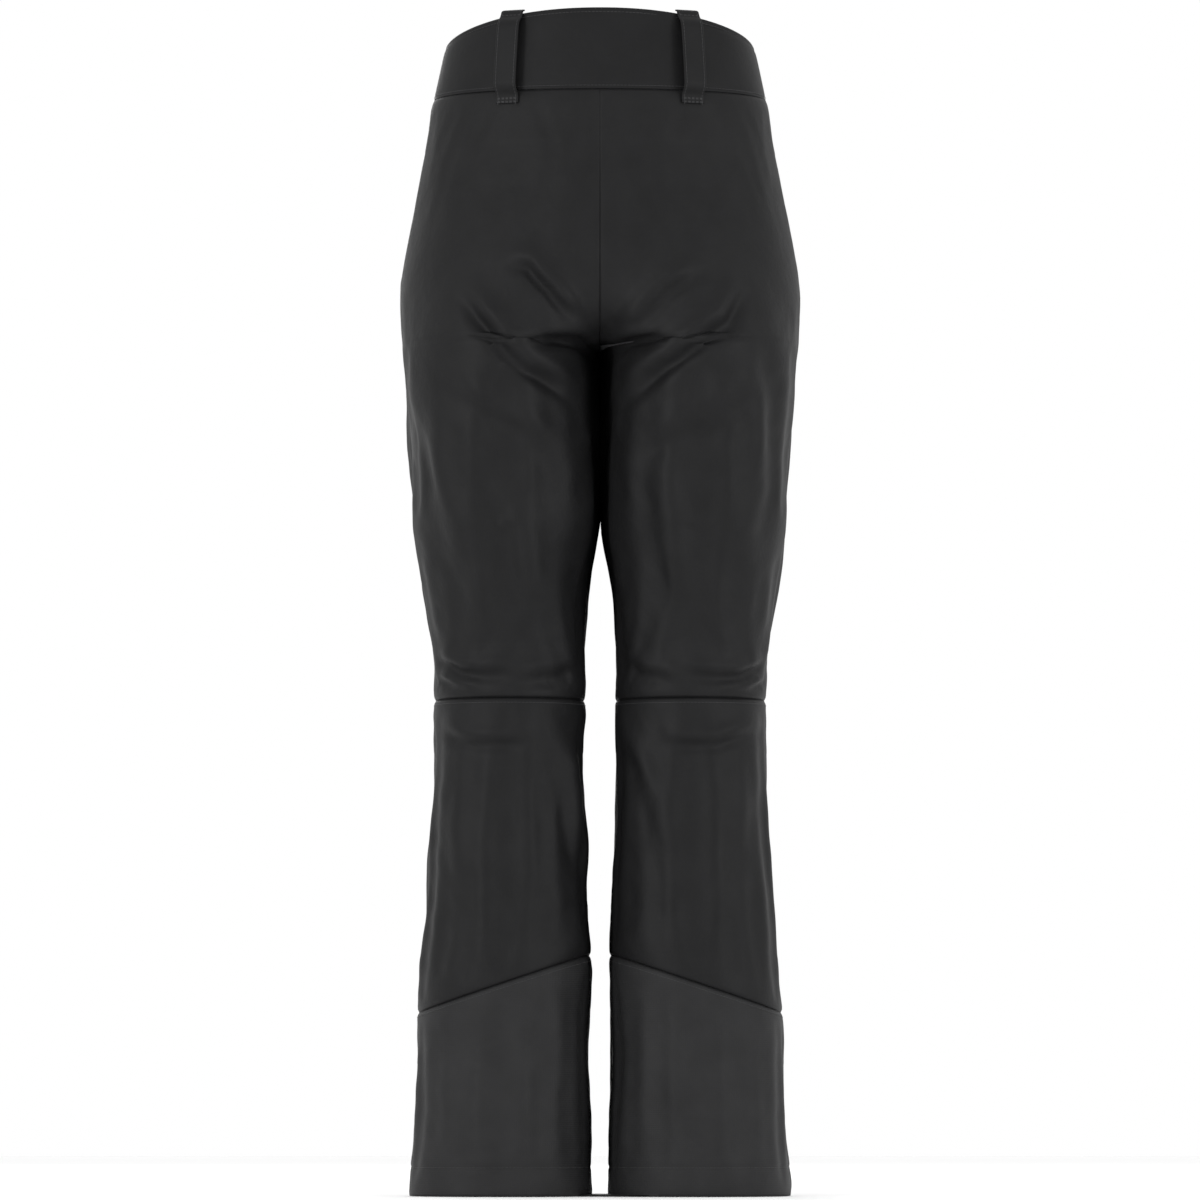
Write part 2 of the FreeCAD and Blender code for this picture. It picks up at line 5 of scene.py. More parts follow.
import bmesh
import bpy
import numpy as np
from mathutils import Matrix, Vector


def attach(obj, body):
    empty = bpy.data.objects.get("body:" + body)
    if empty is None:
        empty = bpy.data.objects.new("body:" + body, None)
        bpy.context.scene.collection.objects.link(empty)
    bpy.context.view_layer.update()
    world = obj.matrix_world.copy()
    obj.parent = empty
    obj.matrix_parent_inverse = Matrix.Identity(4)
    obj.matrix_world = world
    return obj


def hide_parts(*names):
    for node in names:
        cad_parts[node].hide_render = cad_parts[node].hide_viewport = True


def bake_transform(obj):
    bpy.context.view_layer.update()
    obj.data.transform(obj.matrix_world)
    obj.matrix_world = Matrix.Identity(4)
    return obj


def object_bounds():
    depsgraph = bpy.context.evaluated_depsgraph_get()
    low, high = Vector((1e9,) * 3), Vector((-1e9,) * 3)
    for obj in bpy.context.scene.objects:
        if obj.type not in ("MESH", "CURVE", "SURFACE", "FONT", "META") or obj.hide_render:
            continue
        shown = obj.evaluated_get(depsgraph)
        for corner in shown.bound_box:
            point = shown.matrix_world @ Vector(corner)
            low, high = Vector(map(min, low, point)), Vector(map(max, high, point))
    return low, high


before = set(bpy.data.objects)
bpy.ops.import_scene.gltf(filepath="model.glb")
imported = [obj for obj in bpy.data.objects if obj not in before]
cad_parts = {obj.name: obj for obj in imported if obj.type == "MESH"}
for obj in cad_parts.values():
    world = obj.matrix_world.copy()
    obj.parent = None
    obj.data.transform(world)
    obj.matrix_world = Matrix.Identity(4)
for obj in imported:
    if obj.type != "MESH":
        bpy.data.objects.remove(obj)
cad_low, cad_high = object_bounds()

# ---------------------------------------------------------------- sizes, in metres
MM = 0.001
RISE, INSEAM = 0.232, 0.783
CROTCH_Z = -RISE
HEM_Z = CROTCH_Z - INSEAM
KNEE_Z = HEM_Z + 0.457
FORK_Z = CROTCH_Z + 0.142
LEVELS = np.array([0.0, CROTCH_Z + 0.027, CROTCH_Z - 0.148, KNEE_Z, HEM_Z + 0.275, HEM_Z])
EDGE = np.array([154.5, 186.5, 177.5, 153.0, 163.0, 176.0]) * MM
FRONT = np.array([103.0, 116.0, 108.0, 82.0, 80.0, 82.0]) * MM
BACK = np.array([107.0, 135.0, 112.0, 78.0, 84.0, 94.0]) * MM
GAP_LEVELS = np.array([CROTCH_Z, CROTCH_Z - 0.148, KNEE_Z, HEM_Z + 0.275, HEM_Z])
HALF_GAP = np.array([0.8, 4.0, 14.3, 9.5, 7.4]) * MM
ROUNDNESS = 2.15
CUFF_INNER, CUFF_OUTER = 0.222, 0.166
HEM_TURN_UP = 0.026
CENTRE_FILLET = 0.020
LINING_DEPTH = 9.6 * MM
FOLD_DROP, FOLD_ANGLE = 0.010, math.radians(20.0)

BAND_SIDE, BAND_FRONT, BAND_BACK = 0.1545, 0.103, 0.107
LEAN_SIDE, LEAN_FRONT, LEAN_BACK = 0.24, 0.15, 0.11
BAND_TOP_BACK, BAND_TOP_SIDE, BAND_TOP_FRONT = 0.080, 0.050, 0.044
TAB_HINGE_X, TAB_END_X = 0.0396, -0.018
UNDERLAP_ROOT_X, UNDERLAP_END_X = -0.045, 0.035

COLUMNS = 112  # round one leg, on the coarse cloth
ROWS_UPPER, ROWS_LOWER, ROWS_CUFF = 112, 50, 38
FINER = 2  # the finished cloth has this many steps for each coarse one

SHELL_WALL, CUFF_WALL = 0.0014, 0.0011
HIP_BEND, KNEE_BEND = 0.24, 0.18  # length down the leg from the start to the end point of hip_turn and knee_turn
ZIP_CUT = 0.0072  # the shell stops this far from the line of a zip
CLOTH_STEPS, CLOTH_REACH = 20, 0.007  # simulation frames, and the furthest the cloth may move
STITCH_PITCH, STITCH_SIZE = 0.0034, (0.00045, 0.00045, 0.0025)
STITCH_INSET = 0.0045  # from a seam or an edge to the row of stitches beside it


# ---------------------------------------------------------------- small helpers
def ease(t):
    t = np.clip(t, 0.0, 1.0)
    return t * t * (3 - 2 * t)


def flow(z, at, values):
    """A curve through values at descending heights that never overshoots them."""
    slope = np.diff(values) / np.diff(at)
    inner = [0.0 if a * b <= 0 else 2 * a * b / (a + b) for a, b in zip(slope, slope[1:])]
    tangent = np.array([slope[0], *inner, slope[-1]])
    z = np.asarray(z, float)
    i = np.clip(np.searchsorted(-at, -z, side="right") - 1, 0, len(slope) - 1)
    span = at[i + 1] - at[i]
    t = (z - at[i]) / span
    body = ((1 + 2 * t) * (1 - t) ** 2 * values[i] + t * (1 - t) ** 2 * span * tangent[i]
            + t * t * (3 - 2 * t) * values[i + 1] + t * t * (t - 1) * span * tangent[i + 1])
    above = values[0] + slope[0] * (z - at[0])
    below = values[-1] + slope[-1] * (z - at[-1])
    return np.where(z > at[0], above, np.where(z < at[-1], below, body))


def power(value, exponent):
    return np.sign(value) * np.abs(value) ** exponent


def half_section(z):
    """Middle and reaches of the left side's section at each height."""
    edge, front, back = (flow(z, LEVELS, v) for v in (EDGE, FRONT, BACK))
    gap = flow(np.minimum(z, CROTCH_Z), GAP_LEVELS, HALF_GAP)
    t = np.clip((z - CROTCH_Z) / (FORK_Z - CROTCH_Z), 0.0, 1.0)
    crotch_mid = (flow(CROTCH_Z, LEVELS, EDGE) + HALF_GAP[0]) / 2
    mid = np.where(z <= CROTCH_Z, (edge + gap) / 2, crotch_mid * (1 - t))
    inner_x = np.where(z <= CROTCH_Z, gap, HALF_GAP[0] * (1 - t) - edge * t ** 0.8)
    return mid, edge - mid, mid - inner_x, front, back


def leg_depth(p, side):
    """Roughly how far points are outside one side's skin."""
    mid, outer, inner, front, back = half_section(p[:, 2])
    x, y = p[:, 0] * side - mid, p[:, 1]
    u, v = np.abs(x) / np.where(x > 0, outer, inner), np.abs(y) / np.where(y > 0, back, front)
    r = (u ** ROUNDNESS + v ** ROUNDNESS) ** (1 / ROUNDNESS)
    rho = np.hypot(x, y)
    return rho - rho / np.maximum(r, 1e-5)


def skin_depth(p):
    """The two sides run into each other with a soft valley above the crotch."""
    near = leg_depth(p, 1)
    other = leg_depth(p, -1)
    z = p[:, 2]
    fillet = CENTRE_FILLET * ease((z - CROTCH_Z) / 0.025) * ease((-0.095 - z) / 0.06)
    fillet = np.maximum(fillet, 1e-6)
    both = np.maximum(fillet - np.abs(near - other), 0.0) / fillet
    merged = np.minimum(near, other) - both * both * fillet / 4
    return np.where(z > CROTCH_Z, merged, near)


def skin_slope(p):
    step = 2e-4
    slope = np.zeros_like(p)
    for axis in range(3):
        shift = np.zeros(3)
        shift[axis] = step
        slope[:, axis] = (skin_depth(p + shift) - skin_depth(p - shift)) / (2 * step)
    return slope


def settle(p, level=0.0, rounds=4):
    """Moves points sideways onto the surface at a level above the skin, keeping their height."""
    p = p.copy()
    for _ in range(rounds):
        slope = skin_slope(p)
        slope[:, 2] = 0.0
        size = np.maximum((slope ** 2).sum(1), 0.2)
        p -= ((skin_depth(p) - level) / size)[:, None] * slope
    return p


def ripple(p, size, seed, count=7):
    """A smooth random swell between about -1 and 1 with features of about that size."""
    rng = np.random.default_rng(seed)
    total = np.zeros(len(p))
    for _ in range(count):
        way = rng.normal(size=3)
        way /= np.linalg.norm(way)
        turn = 2 * math.pi / (size * rng.uniform(0.7, 1.5))
        total += np.sin(p @ way * turn + rng.uniform(0, 6.28))
    return total / math.sqrt(count)


def fold_height(x):
    """Height of the fold between the seat and the thigh, which rises outward."""
    return CROTCH_Z - FOLD_DROP + np.abs(x) * math.tan(FOLD_ANGLE)


def cuff_height(x):
    """Height of the slanting seam above the cuff: higher on the inner side of the leg."""
    share = (np.abs(x) - HALF_GAP[-1]) / (EDGE[-1] - HALF_GAP[-1])
    return HEM_Z + CUFF_INNER + (CUFF_OUTER - CUFF_INNER) * share


# ---------------------------------------------------------------- the cloth's grid
def section_point(z, share):
    """A point of the left side's section: share runs from the back seam to the front seam."""
    mid, outer, inner, front, back = half_section(z)
    cut = np.clip(mid / inner, 0.0, 1.0)
    reach = np.arccos(np.clip(cut ** (ROUNDNESS / 2), 0.0, 1.0))
    start = np.where(z > CROTCH_Z, math.pi - reach, math.pi)
    angle = start * (1 - 2 * share)
    c, s = np.cos(angle), np.sin(angle)
    x = mid + power(c, 2 / ROUNDNESS) * np.where(c > 0, outer, inner)
    y = power(s, 2 / ROUNDNESS) * np.where(s > 0, back, front)
    return x, y


def even_shares(z, count):
    """Shares that put count + 1 points at even steps along each section."""
    fine = np.linspace(0.0, 1.0, 721)
    zz, ss = np.meshgrid(z, fine, indexing="ij")
    x, y = section_point(zz, ss)
    run = np.cumsum(np.hypot(np.diff(x, axis=1), np.diff(y, axis=1)), axis=1)
    run = np.hstack([np.zeros((len(z), 1)), run])
    want = np.linspace(0.0, 1.0, count + 1)
    return np.array([np.interp(want * r[-1], r, fine) for r in run])


def side_grid():
    """Rows by columns of points on the left side's skin, with rows along the cross seams."""
    upper = np.linspace(0.0, KNEE_Z, ROWS_UPPER + 1)
    shares = even_shares(upper, COLUMNS)
    heights = np.repeat(upper[:, None], COLUMNS + 1, axis=1)
    rows = [(heights, shares)]
    for top, bottom, count in (("knee", "cuff", ROWS_LOWER), ("cuff", "hem", ROWS_CUFF)):
        share = shares[-1]
        seam = np.full(COLUMNS + 1, HEM_Z + 0.19)
        for _ in range(4):
            seam = cuff_height(section_point(seam, share)[0])
        high = np.full(COLUMNS + 1, KNEE_Z) if top == "knee" else seam
        low = seam if bottom == "cuff" else np.full(COLUMNS + 1, HEM_Z)
        t = np.linspace(0.0, 1.0, count + 1)[1:, None]
        rows.append((high * (1 - t) + low * t, np.repeat(share[None], count, axis=0)))
    heights = np.vstack([r[0] for r in rows])
    shares = np.vstack([r[1] for r in rows])
    x, y = section_point(heights, shares)
    grid = np.stack([x, y, heights], axis=-1)
    shape = grid.shape
    flat = settle(grid.reshape(-1, 3)).reshape(shape)
    above = heights[:, 0] > CROTCH_Z
    flat[above, 0, 0] = flat[above, -1, 0] = 0.0
    closed = ~above
    seam = (flat[closed, 0] + flat[closed, -1]) / 2
    flat[closed, 0] = flat[closed, -1] = seam
    return flat


def finer(grid, times):
    """The same grid with more rows and columns, along smooth curves."""
    for axis in (0, 1):
        n = grid.shape[axis]
        at = np.arange((n - 1) * times + 1) / times
        i = np.clip(np.floor(at).astype(int), 0, n - 2)
        t = (at - i).reshape([-1 if k == axis else 1 for k in range(3)])
        take = [np.take(grid, np.clip(i + k, 0, n - 1), axis=axis) for k in (-1, 0, 1, 2)]
        b, c = take[1], take[2]
        a = np.where((i == 0).reshape(t.shape), 2 * b - c, take[0])
        d = np.where((i == n - 2).reshape(t.shape), 2 * c - b, take[3])
        grid = 0.5 * (2 * b + (c - a) * t + (2 * a - 5 * b + 4 * c - d) * t ** 2
                      + (3 * b - a - 3 * c + d) * t ** 3)
    return grid


# ---------------------------------------------------------------- folds in the cloth
def fold(p, path, height, width, face, fade=(0.3, 0.3), crease=0.5):
    """A soft raised fold along a path of (x, z) points, with a crease on its lower side."""
    flat = p[:, [0, 2]]
    path = np.asarray(path, float)
    lengths = np.linalg.norm(np.diff(path, axis=0), axis=1)
    starts = np.concatenate([[0.0], np.cumsum(lengths)])
    best, along, signed = np.full(len(p), 1e9), np.zeros(len(p)), np.zeros(len(p))
    for k, (a, b) in enumerate(zip(path, path[1:])):
        d = (b - a) / lengths[k]
        t = np.clip((flat - a) @ d, 0, lengths[k])
        off = flat - a - t[:, None] * d
        far = np.hypot(off[:, 0], off[:, 1])
        cross = d[0] * off[:, 1] - d[1] * off[:, 0]
        nearer = far < best
        best = np.where(nearer, far, best)
        signed = np.where(nearer, np.where(cross < 0, -far, far), signed)
        along = np.where(nearer, (starts[k] + t) / starts[-1], along)
    ends = ease(along / max(fade[0], 1e-3)) * ease((1 - along) / max(fade[1], 1e-3))
    ends = np.where((along <= 0) | (along >= 1), 0.0, ends)
    if path[0, 0] > path[-1, 0]:
        signed = -signed
    shape = np.exp(-(signed / width) ** 2)
    shape -= crease * np.exp(-((signed + 1.35 * width) / (0.75 * width)) ** 2)
    turned = ease((p[:, 1] * face + 0.01) / 0.05)
    return height * ends * shape * turned


BACK_FOLDS = [  # path of (x, z), height, width, crease
    ([(0.122, -0.172), (0.104, -0.206), (0.062, -0.246), (0.008, -0.284)], 0.0062, 0.010, 1.3),
    ([(0.092, -0.158), (0.062, -0.160), (0.036, -0.182), (0.014, -0.216)], 0.0048, 0.008, 1.3),
    ([(0.062, -0.219), (0.034, -0.226), (0.002, -0.234)], 0.0040, 0.008, 1.4),
    ([(0.140, -0.250), (0.082, -0.300), (0.022, -0.342)], 0.0038, 0.014, 0.7),
    ([(0.168, -0.250), (0.134, -0.380), (0.100, -0.520)], 0.0046, 0.016, 0.6),
    ([(0.104, -0.330), (0.068, -0.420), (0.046, -0.500)], 0.0030, 0.014, 0.6),
    ([(-0.128, -0.170), (-0.108, -0.212), (-0.054, -0.244), (-0.008, -0.288)], 0.0062, 0.010,
     1.3),
    ([(-0.090, -0.156), (-0.058, -0.180), (-0.034, -0.204), (-0.010, -0.222)], 0.0044, 0.010,
     0.9),
    ([(-0.058, -0.214), (-0.030, -0.226), (-0.002, -0.240)], 0.0034, 0.008, 1.2),
    ([(-0.146, -0.244), (-0.088, -0.296), (-0.024, -0.330)], 0.0036, 0.014, 0.7),
    ([(-0.128, -0.200), (-0.142, -0.330), (-0.114, -0.480)], 0.0044, 0.015, 0.6),
    ([(-0.056, -0.320), (-0.072, -0.410), (-0.090, -0.500)], 0.0028, 0.014, 0.6),
    ([(0.156, -0.512), (0.122, -0.526), (0.070, -0.534)], 0.0038, 0.008, 1.1),
    ([(0.156, -0.534), (0.128, -0.544), (0.100, -0.548)], 0.0034, 0.006, 1.2),
    ([(0.020, -0.516), (0.050, -0.532), (0.094, -0.542)], 0.0030, 0.008, 1.0),
    ([(-0.156, -0.514), (-0.124, -0.527), (-0.074, -0.533)], 0.0038, 0.008, 1.1),
    ([(-0.156, -0.536), (-0.130, -0.545), (-0.100, -0.549)], 0.0034, 0.006, 1.2),
    ([(-0.020, -0.512), (-0.046, -0.532), (-0.090, -0.542)], 0.0030, 0.008, 1.0),
    ([(0.150, -0.578), (0.112, -0.590), (0.060, -0.582)], 0.0034, 0.009, 1.0),
    ([(0.030, -0.574), (0.026, -0.640), (0.010, -0.740)], 0.0042, 0.010, 0.9),
    ([(-0.150, -0.576), (-0.110, -0.592), (-0.058, -0.584)], 0.0034, 0.009, 1.0),
    ([(-0.024, -0.572), (-0.044, -0.620), (-0.060, -0.710)], 0.0034, 0.011, 0.8),
    ([(0.130, -0.630), (0.108, -0.720), (0.118, -0.810)], 0.0032, 0.016, 0.5),
    ([(-0.138, -0.610), (-0.114, -0.700), (-0.122, -0.800)], 0.0032, 0.016, 0.5),
    ([(0.020, -0.060), (0.030, -0.110), (0.052, -0.150)], 0.0012, 0.014, 0.4),
    ([(-0.022, -0.056), (-0.036, -0.108), (-0.060, -0.146)], 0.0012, 0.014, 0.4)]
FRONT_FOLDS = [
    ([(0.120, -0.205), (0.070, -0.232), (0.012, -0.236)], 0.0042, 0.010, 0.9),
    ([(0.135, -0.245), (0.080, -0.262), (0.020, -0.262)], 0.0034, 0.011, 0.8),
    ([(-0.120, -0.200), (-0.068, -0.228), (-0.012, -0.234)], 0.0042, 0.010, 0.9),
    ([(-0.138, -0.240), (-0.082, -0.266), (-0.020, -0.264)], 0.0034, 0.011, 0.8),
    ([(0.140, -0.300), (0.112, -0.400), (0.094, -0.490)], 0.0030, 0.016, 0.5),
    ([(-0.134, -0.310), (-0.108, -0.405), (-0.092, -0.495)], 0.0030, 0.016, 0.5),
    ([(0.140, -0.530), (0.100, -0.540), (0.050, -0.534)], 0.0022, 0.009, 0.7),
    ([(-0.140, -0.528), (-0.100, -0.538), (-0.052, -0.536)], 0.0022, 0.009, 0.7),
    ([(0.130, -0.620), (0.096, -0.640), (0.050, -0.630)], 0.0024, 0.012, 0.6),
    ([(-0.128, -0.625), (-0.096, -0.642), (-0.048, -0.634)], 0.0024, 0.012, 0.6),
    ([(0.120, -0.900), (0.090, -0.912), (0.050, -0.906)], 0.0028, 0.012, 0.6),
    ([(-0.118, -0.896), (-0.088, -0.910), (-0.048, -0.904)], 0.0028, 0.012, 0.6)]


def hang(p):
    """How far the cloth stands off the plain skin where it folds and swells."""
    warped = p.copy()
    warped[:, 0] += 0.004 * ripple(p, 0.09, 11)
    warped[:, 2] += 0.005 * ripple(p, 0.11, 12)
    total = np.zeros(len(p))
    for folds, face in ((BACK_FOLDS, 1), (FRONT_FOLDS, -1)):
        for path, height, width, crease in folds:
            total += fold(warped, path, height, width, face, crease=crease)
    stretched = p * np.array([1.0, 1.0, 0.45])
    calm = 0.35 + 0.65 * ease((-0.12 - p[:, 2]) / 0.2)
    total += 0.0013 * calm * ripple(stretched, 0.060, 21)
    total += 0.00018 * calm * ripple(p, 0.024, 22)
    return total


def seam_hold(p):
    """1 on the cross seams and 0 away from them, where the cloth is free to puff up."""
    z = p[:, 2]
    near = np.full(len(p), 1.0)
    for line in (0.0, KNEE_Z, HEM_Z):  # the waist seam, the knee seam and the hem
        near = np.minimum(near, np.abs(z - line))
    near = np.minimum(near, np.abs(z - cuff_height(p[:, 0])))
    return np.exp(-(near / 0.009) ** 2)


# ---------------------------------------------------------------- meshes
def mesh_piece(name, points, faces, uv=None, smooth=True):
    mesh = bpy.data.meshes.new(name)
    mesh.from_pydata([tuple(map(float, p)) for p in points], [],
                     [tuple(map(int, f)) for f in faces])
    mesh.update()
    if uv is not None:
        layer = mesh.uv_layers.new(name="weave")
        loops = np.empty(len(mesh.loops), int)
        mesh.loops.foreach_get("vertex_index", loops)
        layer.data.foreach_set("uv", np.asarray(uv, np.float32)[loops].ravel())
    mesh.polygons.foreach_set("use_smooth", [smooth] * len(mesh.polygons))
    piece = bpy.data.objects.new(name, mesh)
    bpy.context.scene.collection.objects.link(piece)
    return piece


def grid_faces(rows, columns, wrap=False, flip=False, start=0):
    wide = columns if wrap else columns - 1
    r, c = np.meshgrid(np.arange(rows - 1), np.arange(wide), indexing="ij")
    r, c = r.ravel(), c.ravel()
    n = (c + 1) % columns
    quads = np.stack([r * columns + c, (r + 1) * columns + c,
                      (r + 1) * columns + n, r * columns + n], axis=1) + start
    return quads[:, ::-1] if flip else quads


def grid_piece(name, grid, flip=False, wrap=False, uv=None, hole=None):
    """A piece of cloth from a grid, without the faces that a hole test picks."""
    rows, columns = grid.shape[:2]
    faces = grid_faces(rows, columns, wrap, flip)
    if hole is not None:
        faces = faces[~hole(grid.reshape(-1, 3)[faces].mean(axis=1))]
    flat_uv = None if uv is None else uv.reshape(-1, 2)
    return mesh_piece(name, grid.reshape(-1, 3), faces, flat_uv)


def weld(piece, distance=2e-5):
    work = bmesh.new()
    work.from_mesh(piece.data)
    bmesh.ops.remove_doubles(work, verts=work.verts, dist=distance)
    work.to_mesh(piece.data)
    work.free()
    return piece


def face_out(piece):
    work = bmesh.new()
    work.from_mesh(piece.data)
    bmesh.ops.recalc_face_normals(work, faces=work.faces)
    work.to_mesh(piece.data)
    work.free()
    return piece


def bake_modifiers(piece):
    bpy.context.view_layer.update()
    graph = bpy.context.evaluated_depsgraph_get()
    done = bpy.data.meshes.new_from_object(piece.evaluated_get(graph))
    piece.modifiers.clear()
    piece.data = done
    return piece


def grid_normals(grid):
    """The direction across a grid of points, at each point."""
    along = np.gradient(grid, axis=0)
    across = np.gradient(grid, axis=1)
    normal = np.cross(along, across)
    size = np.linalg.norm(normal, axis=-1, keepdims=True)
    return normal / np.maximum(size, 1e-12)


def weave_map(grid):
    """A flat map of a grid in metres, for the weave."""
    rows, columns = grid.shape[:2]
    u = np.linspace(0, 0.54, columns)[None].repeat(rows, axis=0)
    return np.stack([u, grid[..., 2]], axis=-1)


def vertex_places(mesh):
    places = np.empty(len(mesh.vertices) * 3, np.float32)
    mesh.vertices.foreach_get("co", places)
    return places.reshape(-1, 3).astype(float)


# ---------------------------------------------------------------- cloth simulation
def drape(left, right):
    """Lets the padded cloth of both sides swell and crumple between its seams."""
    rows, columns = left.shape[:2]
    points = np.vstack([left.reshape(-1, 3), right.reshape(-1, 3)])
    faces = np.vstack([grid_faces(rows, columns),
                       grid_faces(rows, columns, flip=True, start=rows * columns)])
    piece = mesh_piece("drape", points, faces)
    original = piece.data.attributes.new("row_order", "INT", "POINT")
    original.data.foreach_set("value", np.arange(len(points), dtype=np.int32))
    held = seam_hold(points)
    weld(piece, 1e-4)
    kept = np.empty(len(piece.data.vertices), np.int32)
    piece.data.attributes["row_order"].data.foreach_get("value", kept)
    group = piece.vertex_groups.new(name="held")
    grow = piece.vertex_groups.new(name="slack")
    for index, source in enumerate(kept):
        group.add([index], float(max(0.04, held[source])), "REPLACE")
        p = points[source]
        loose = 0.35 + 0.65 * math.exp(-((p[2] - KNEE_Z) / 0.07) ** 2)
        loose += 0.55 * math.exp(-((p[2] + 0.27) / 0.07) ** 2)
        grow.add([index], min(1.0, loose), "REPLACE")
    cloth = piece.modifiers.new("cloth", "CLOTH")
    settings = cloth.settings
    settings.quality = 5
    settings.mass = 0.2
    settings.tension_stiffness = settings.compression_stiffness = 12
    settings.shear_stiffness = 6
    settings.bending_stiffness = 0.6
    settings.air_damping = 4
    settings.vertex_group_mass = "held"
    settings.pin_stiffness = 0.6
    settings.use_pressure = True
    settings.uniform_pressure_force = 1.6
    settings.vertex_group_shrink = "slack"
    settings.shrink_min = 0.0
    settings.shrink_max = -0.035
    settings.effector_weights.gravity = 0.0
    cloth.collision_settings.use_collision = False
    cloth.point_cache.frame_start, cloth.point_cache.frame_end = 1, CLOTH_STEPS
    scene = bpy.context.scene
    for number in range(1, CLOTH_STEPS + 1):
        scene.frame_set(number)
    graph = bpy.context.evaluated_depsgraph_get()
    moved = vertex_places(piece.evaluated_get(graph).data)
    scene.frame_set(1)
    start = vertex_places(piece.data)
    push = moved - start
    size = np.linalg.norm(push, axis=1, keepdims=True)
    push *= CLOTH_REACH * np.tanh(size / CLOTH_REACH) / np.maximum(size, 1e-9)
    push *= (0.30 + 0.70 * ease((-0.19 - start[:, 2]) / 0.08))[:, None]
    by_place = {tuple(np.round(points[k], 4)): i for i, k in enumerate(kept)}
    owner = np.full(len(points), -1)
    owner[kept] = np.arange(len(kept))
    for index in np.flatnonzero(owner < 0):
        owner[index] = by_place.get(tuple(np.round(points[index], 4)), -1)
    change = np.where((owner < 0)[:, None], 0.0, push[np.maximum(owner, 0)])
    bpy.data.objects.remove(piece)
    change = change.reshape(2, rows, columns, 3)
    return left + change[0], right + change[1]


# ---------------------------------------------------------------- materials
def new_material(name):
    material = bpy.data.materials.new(name)
    material.use_nodes = True
    tree = material.node_tree
    return material, tree.nodes, tree.links, tree.nodes["Principled BSDF"]


def add(nodes, kind, values=None, **settings):
    """A new shader node with its settings, then the values of its inputs."""
    node = nodes.new("ShaderNode" + kind)
    for name, value in settings.items():
        setattr(node, name, value)
    for name, value in (values or {}).items():
        node.inputs[name].default_value = value
    return node


def cloth_material(name, dark, light, rough=0.62, sheen=0.18, pitch=0.0011, weave=0.25,
                   crinkle=0.35, mapped=True):
    """Woven cloth: a fine weave, small crinkles and a faintly uneven dye."""
    material, nodes, links, shader = new_material(name)
    place = add(nodes, "TexCoord").outputs["Object"]
    lay = add(nodes, "UVMap", uv_map="weave").outputs["UV"] if mapped else place
    threads = add(nodes, "Math", operation="MULTIPLY")
    for index, way in enumerate(("X", "Y" if mapped else "Z")):
        wave = add(nodes, "TexWave", {"Scale": 0.314 / pitch, "Distortion": 0.6, "Detail": 1.0},
                   bands_direction=way)
        links.new(lay, wave.inputs["Vector"])
        links.new(wave.outputs["Fac"], threads.inputs[index])
    dye = add(nodes, "TexNoise", {"Scale": 34.0, "Detail": 6.0})
    blend = add(nodes, "Math", {1: 0.35}, operation="MULTIPLY_ADD")
    shade = add(nodes, "Mix", {"A": (*dark, 1), "B": (*light, 1)}, data_type="RGBA")
    fine = add(nodes, "TexNoise", {"Scale": 120.0, "Detail": 5.0, "Roughness": 0.6})
    rumple = add(nodes, "Bump", {"Strength": crinkle, "Distance": 0.0012})
    woven = add(nodes, "Bump", {"Strength": weave, "Distance": 0.0003})
    for start, end in (
            (place, dye.inputs["Vector"]), (threads.outputs[0], blend.inputs[0]),
            (dye.outputs["Fac"], blend.inputs[2]), (blend.outputs[0], shade.inputs["Factor"]),
            (shade.outputs["Result"], shader.inputs["Base Color"]),
            (place, fine.inputs["Vector"]), (fine.outputs["Fac"], rumple.inputs["Height"]),
            (threads.outputs[0], woven.inputs["Height"]),
            (rumple.outputs["Normal"], woven.inputs["Normal"]),
            (woven.outputs["Normal"], shader.inputs["Normal"])):
        links.new(start, end)
    for socket, value in (("Roughness", rough), ("Sheen Weight", sheen),
                          ("Sheen Roughness", 0.45), ("Specular IOR Level", 0.13)):
        shader.inputs[socket].default_value = value
    return material


def hard_material(name, colour, metallic, rough, wear=0.5):
    """Cast or moulded trim with fine grain and slightly worn faces."""
    material, nodes, links, shader = new_material(name)
    place = add(nodes, "TexCoord")
    grain = add(nodes, "TexNoise", {"Scale": 900.0, "Detail": 4.0})
    worn = [c * (1 + wear) for c in colour]
    shade = add(nodes, "Mix", {"A": (*colour, 1), "B": (*worn, 1)}, data_type="RGBA")
    polish = add(nodes, "MapRange", {"To Min": rough * 0.8, "To Max": min(1.0, rough * 1.25)})
    bump = add(nodes, "Bump", {"Strength": 0.15, "Distance": 0.0001})
    for start, end in (
            (place.outputs["Object"], grain.inputs["Vector"]),
            (grain.outputs["Fac"], shade.inputs["Factor"]),
            (shade.outputs["Result"], shader.inputs["Base Color"]),
            (grain.outputs["Fac"], polish.inputs["Value"]),
            (polish.outputs["Result"], shader.inputs["Roughness"]),
            (grain.outputs["Fac"], bump.inputs["Height"]),
            (bump.outputs["Normal"], shader.inputs["Normal"])):
        links.new(start, end)
    shader.inputs["Metallic"].default_value = metallic
    return material


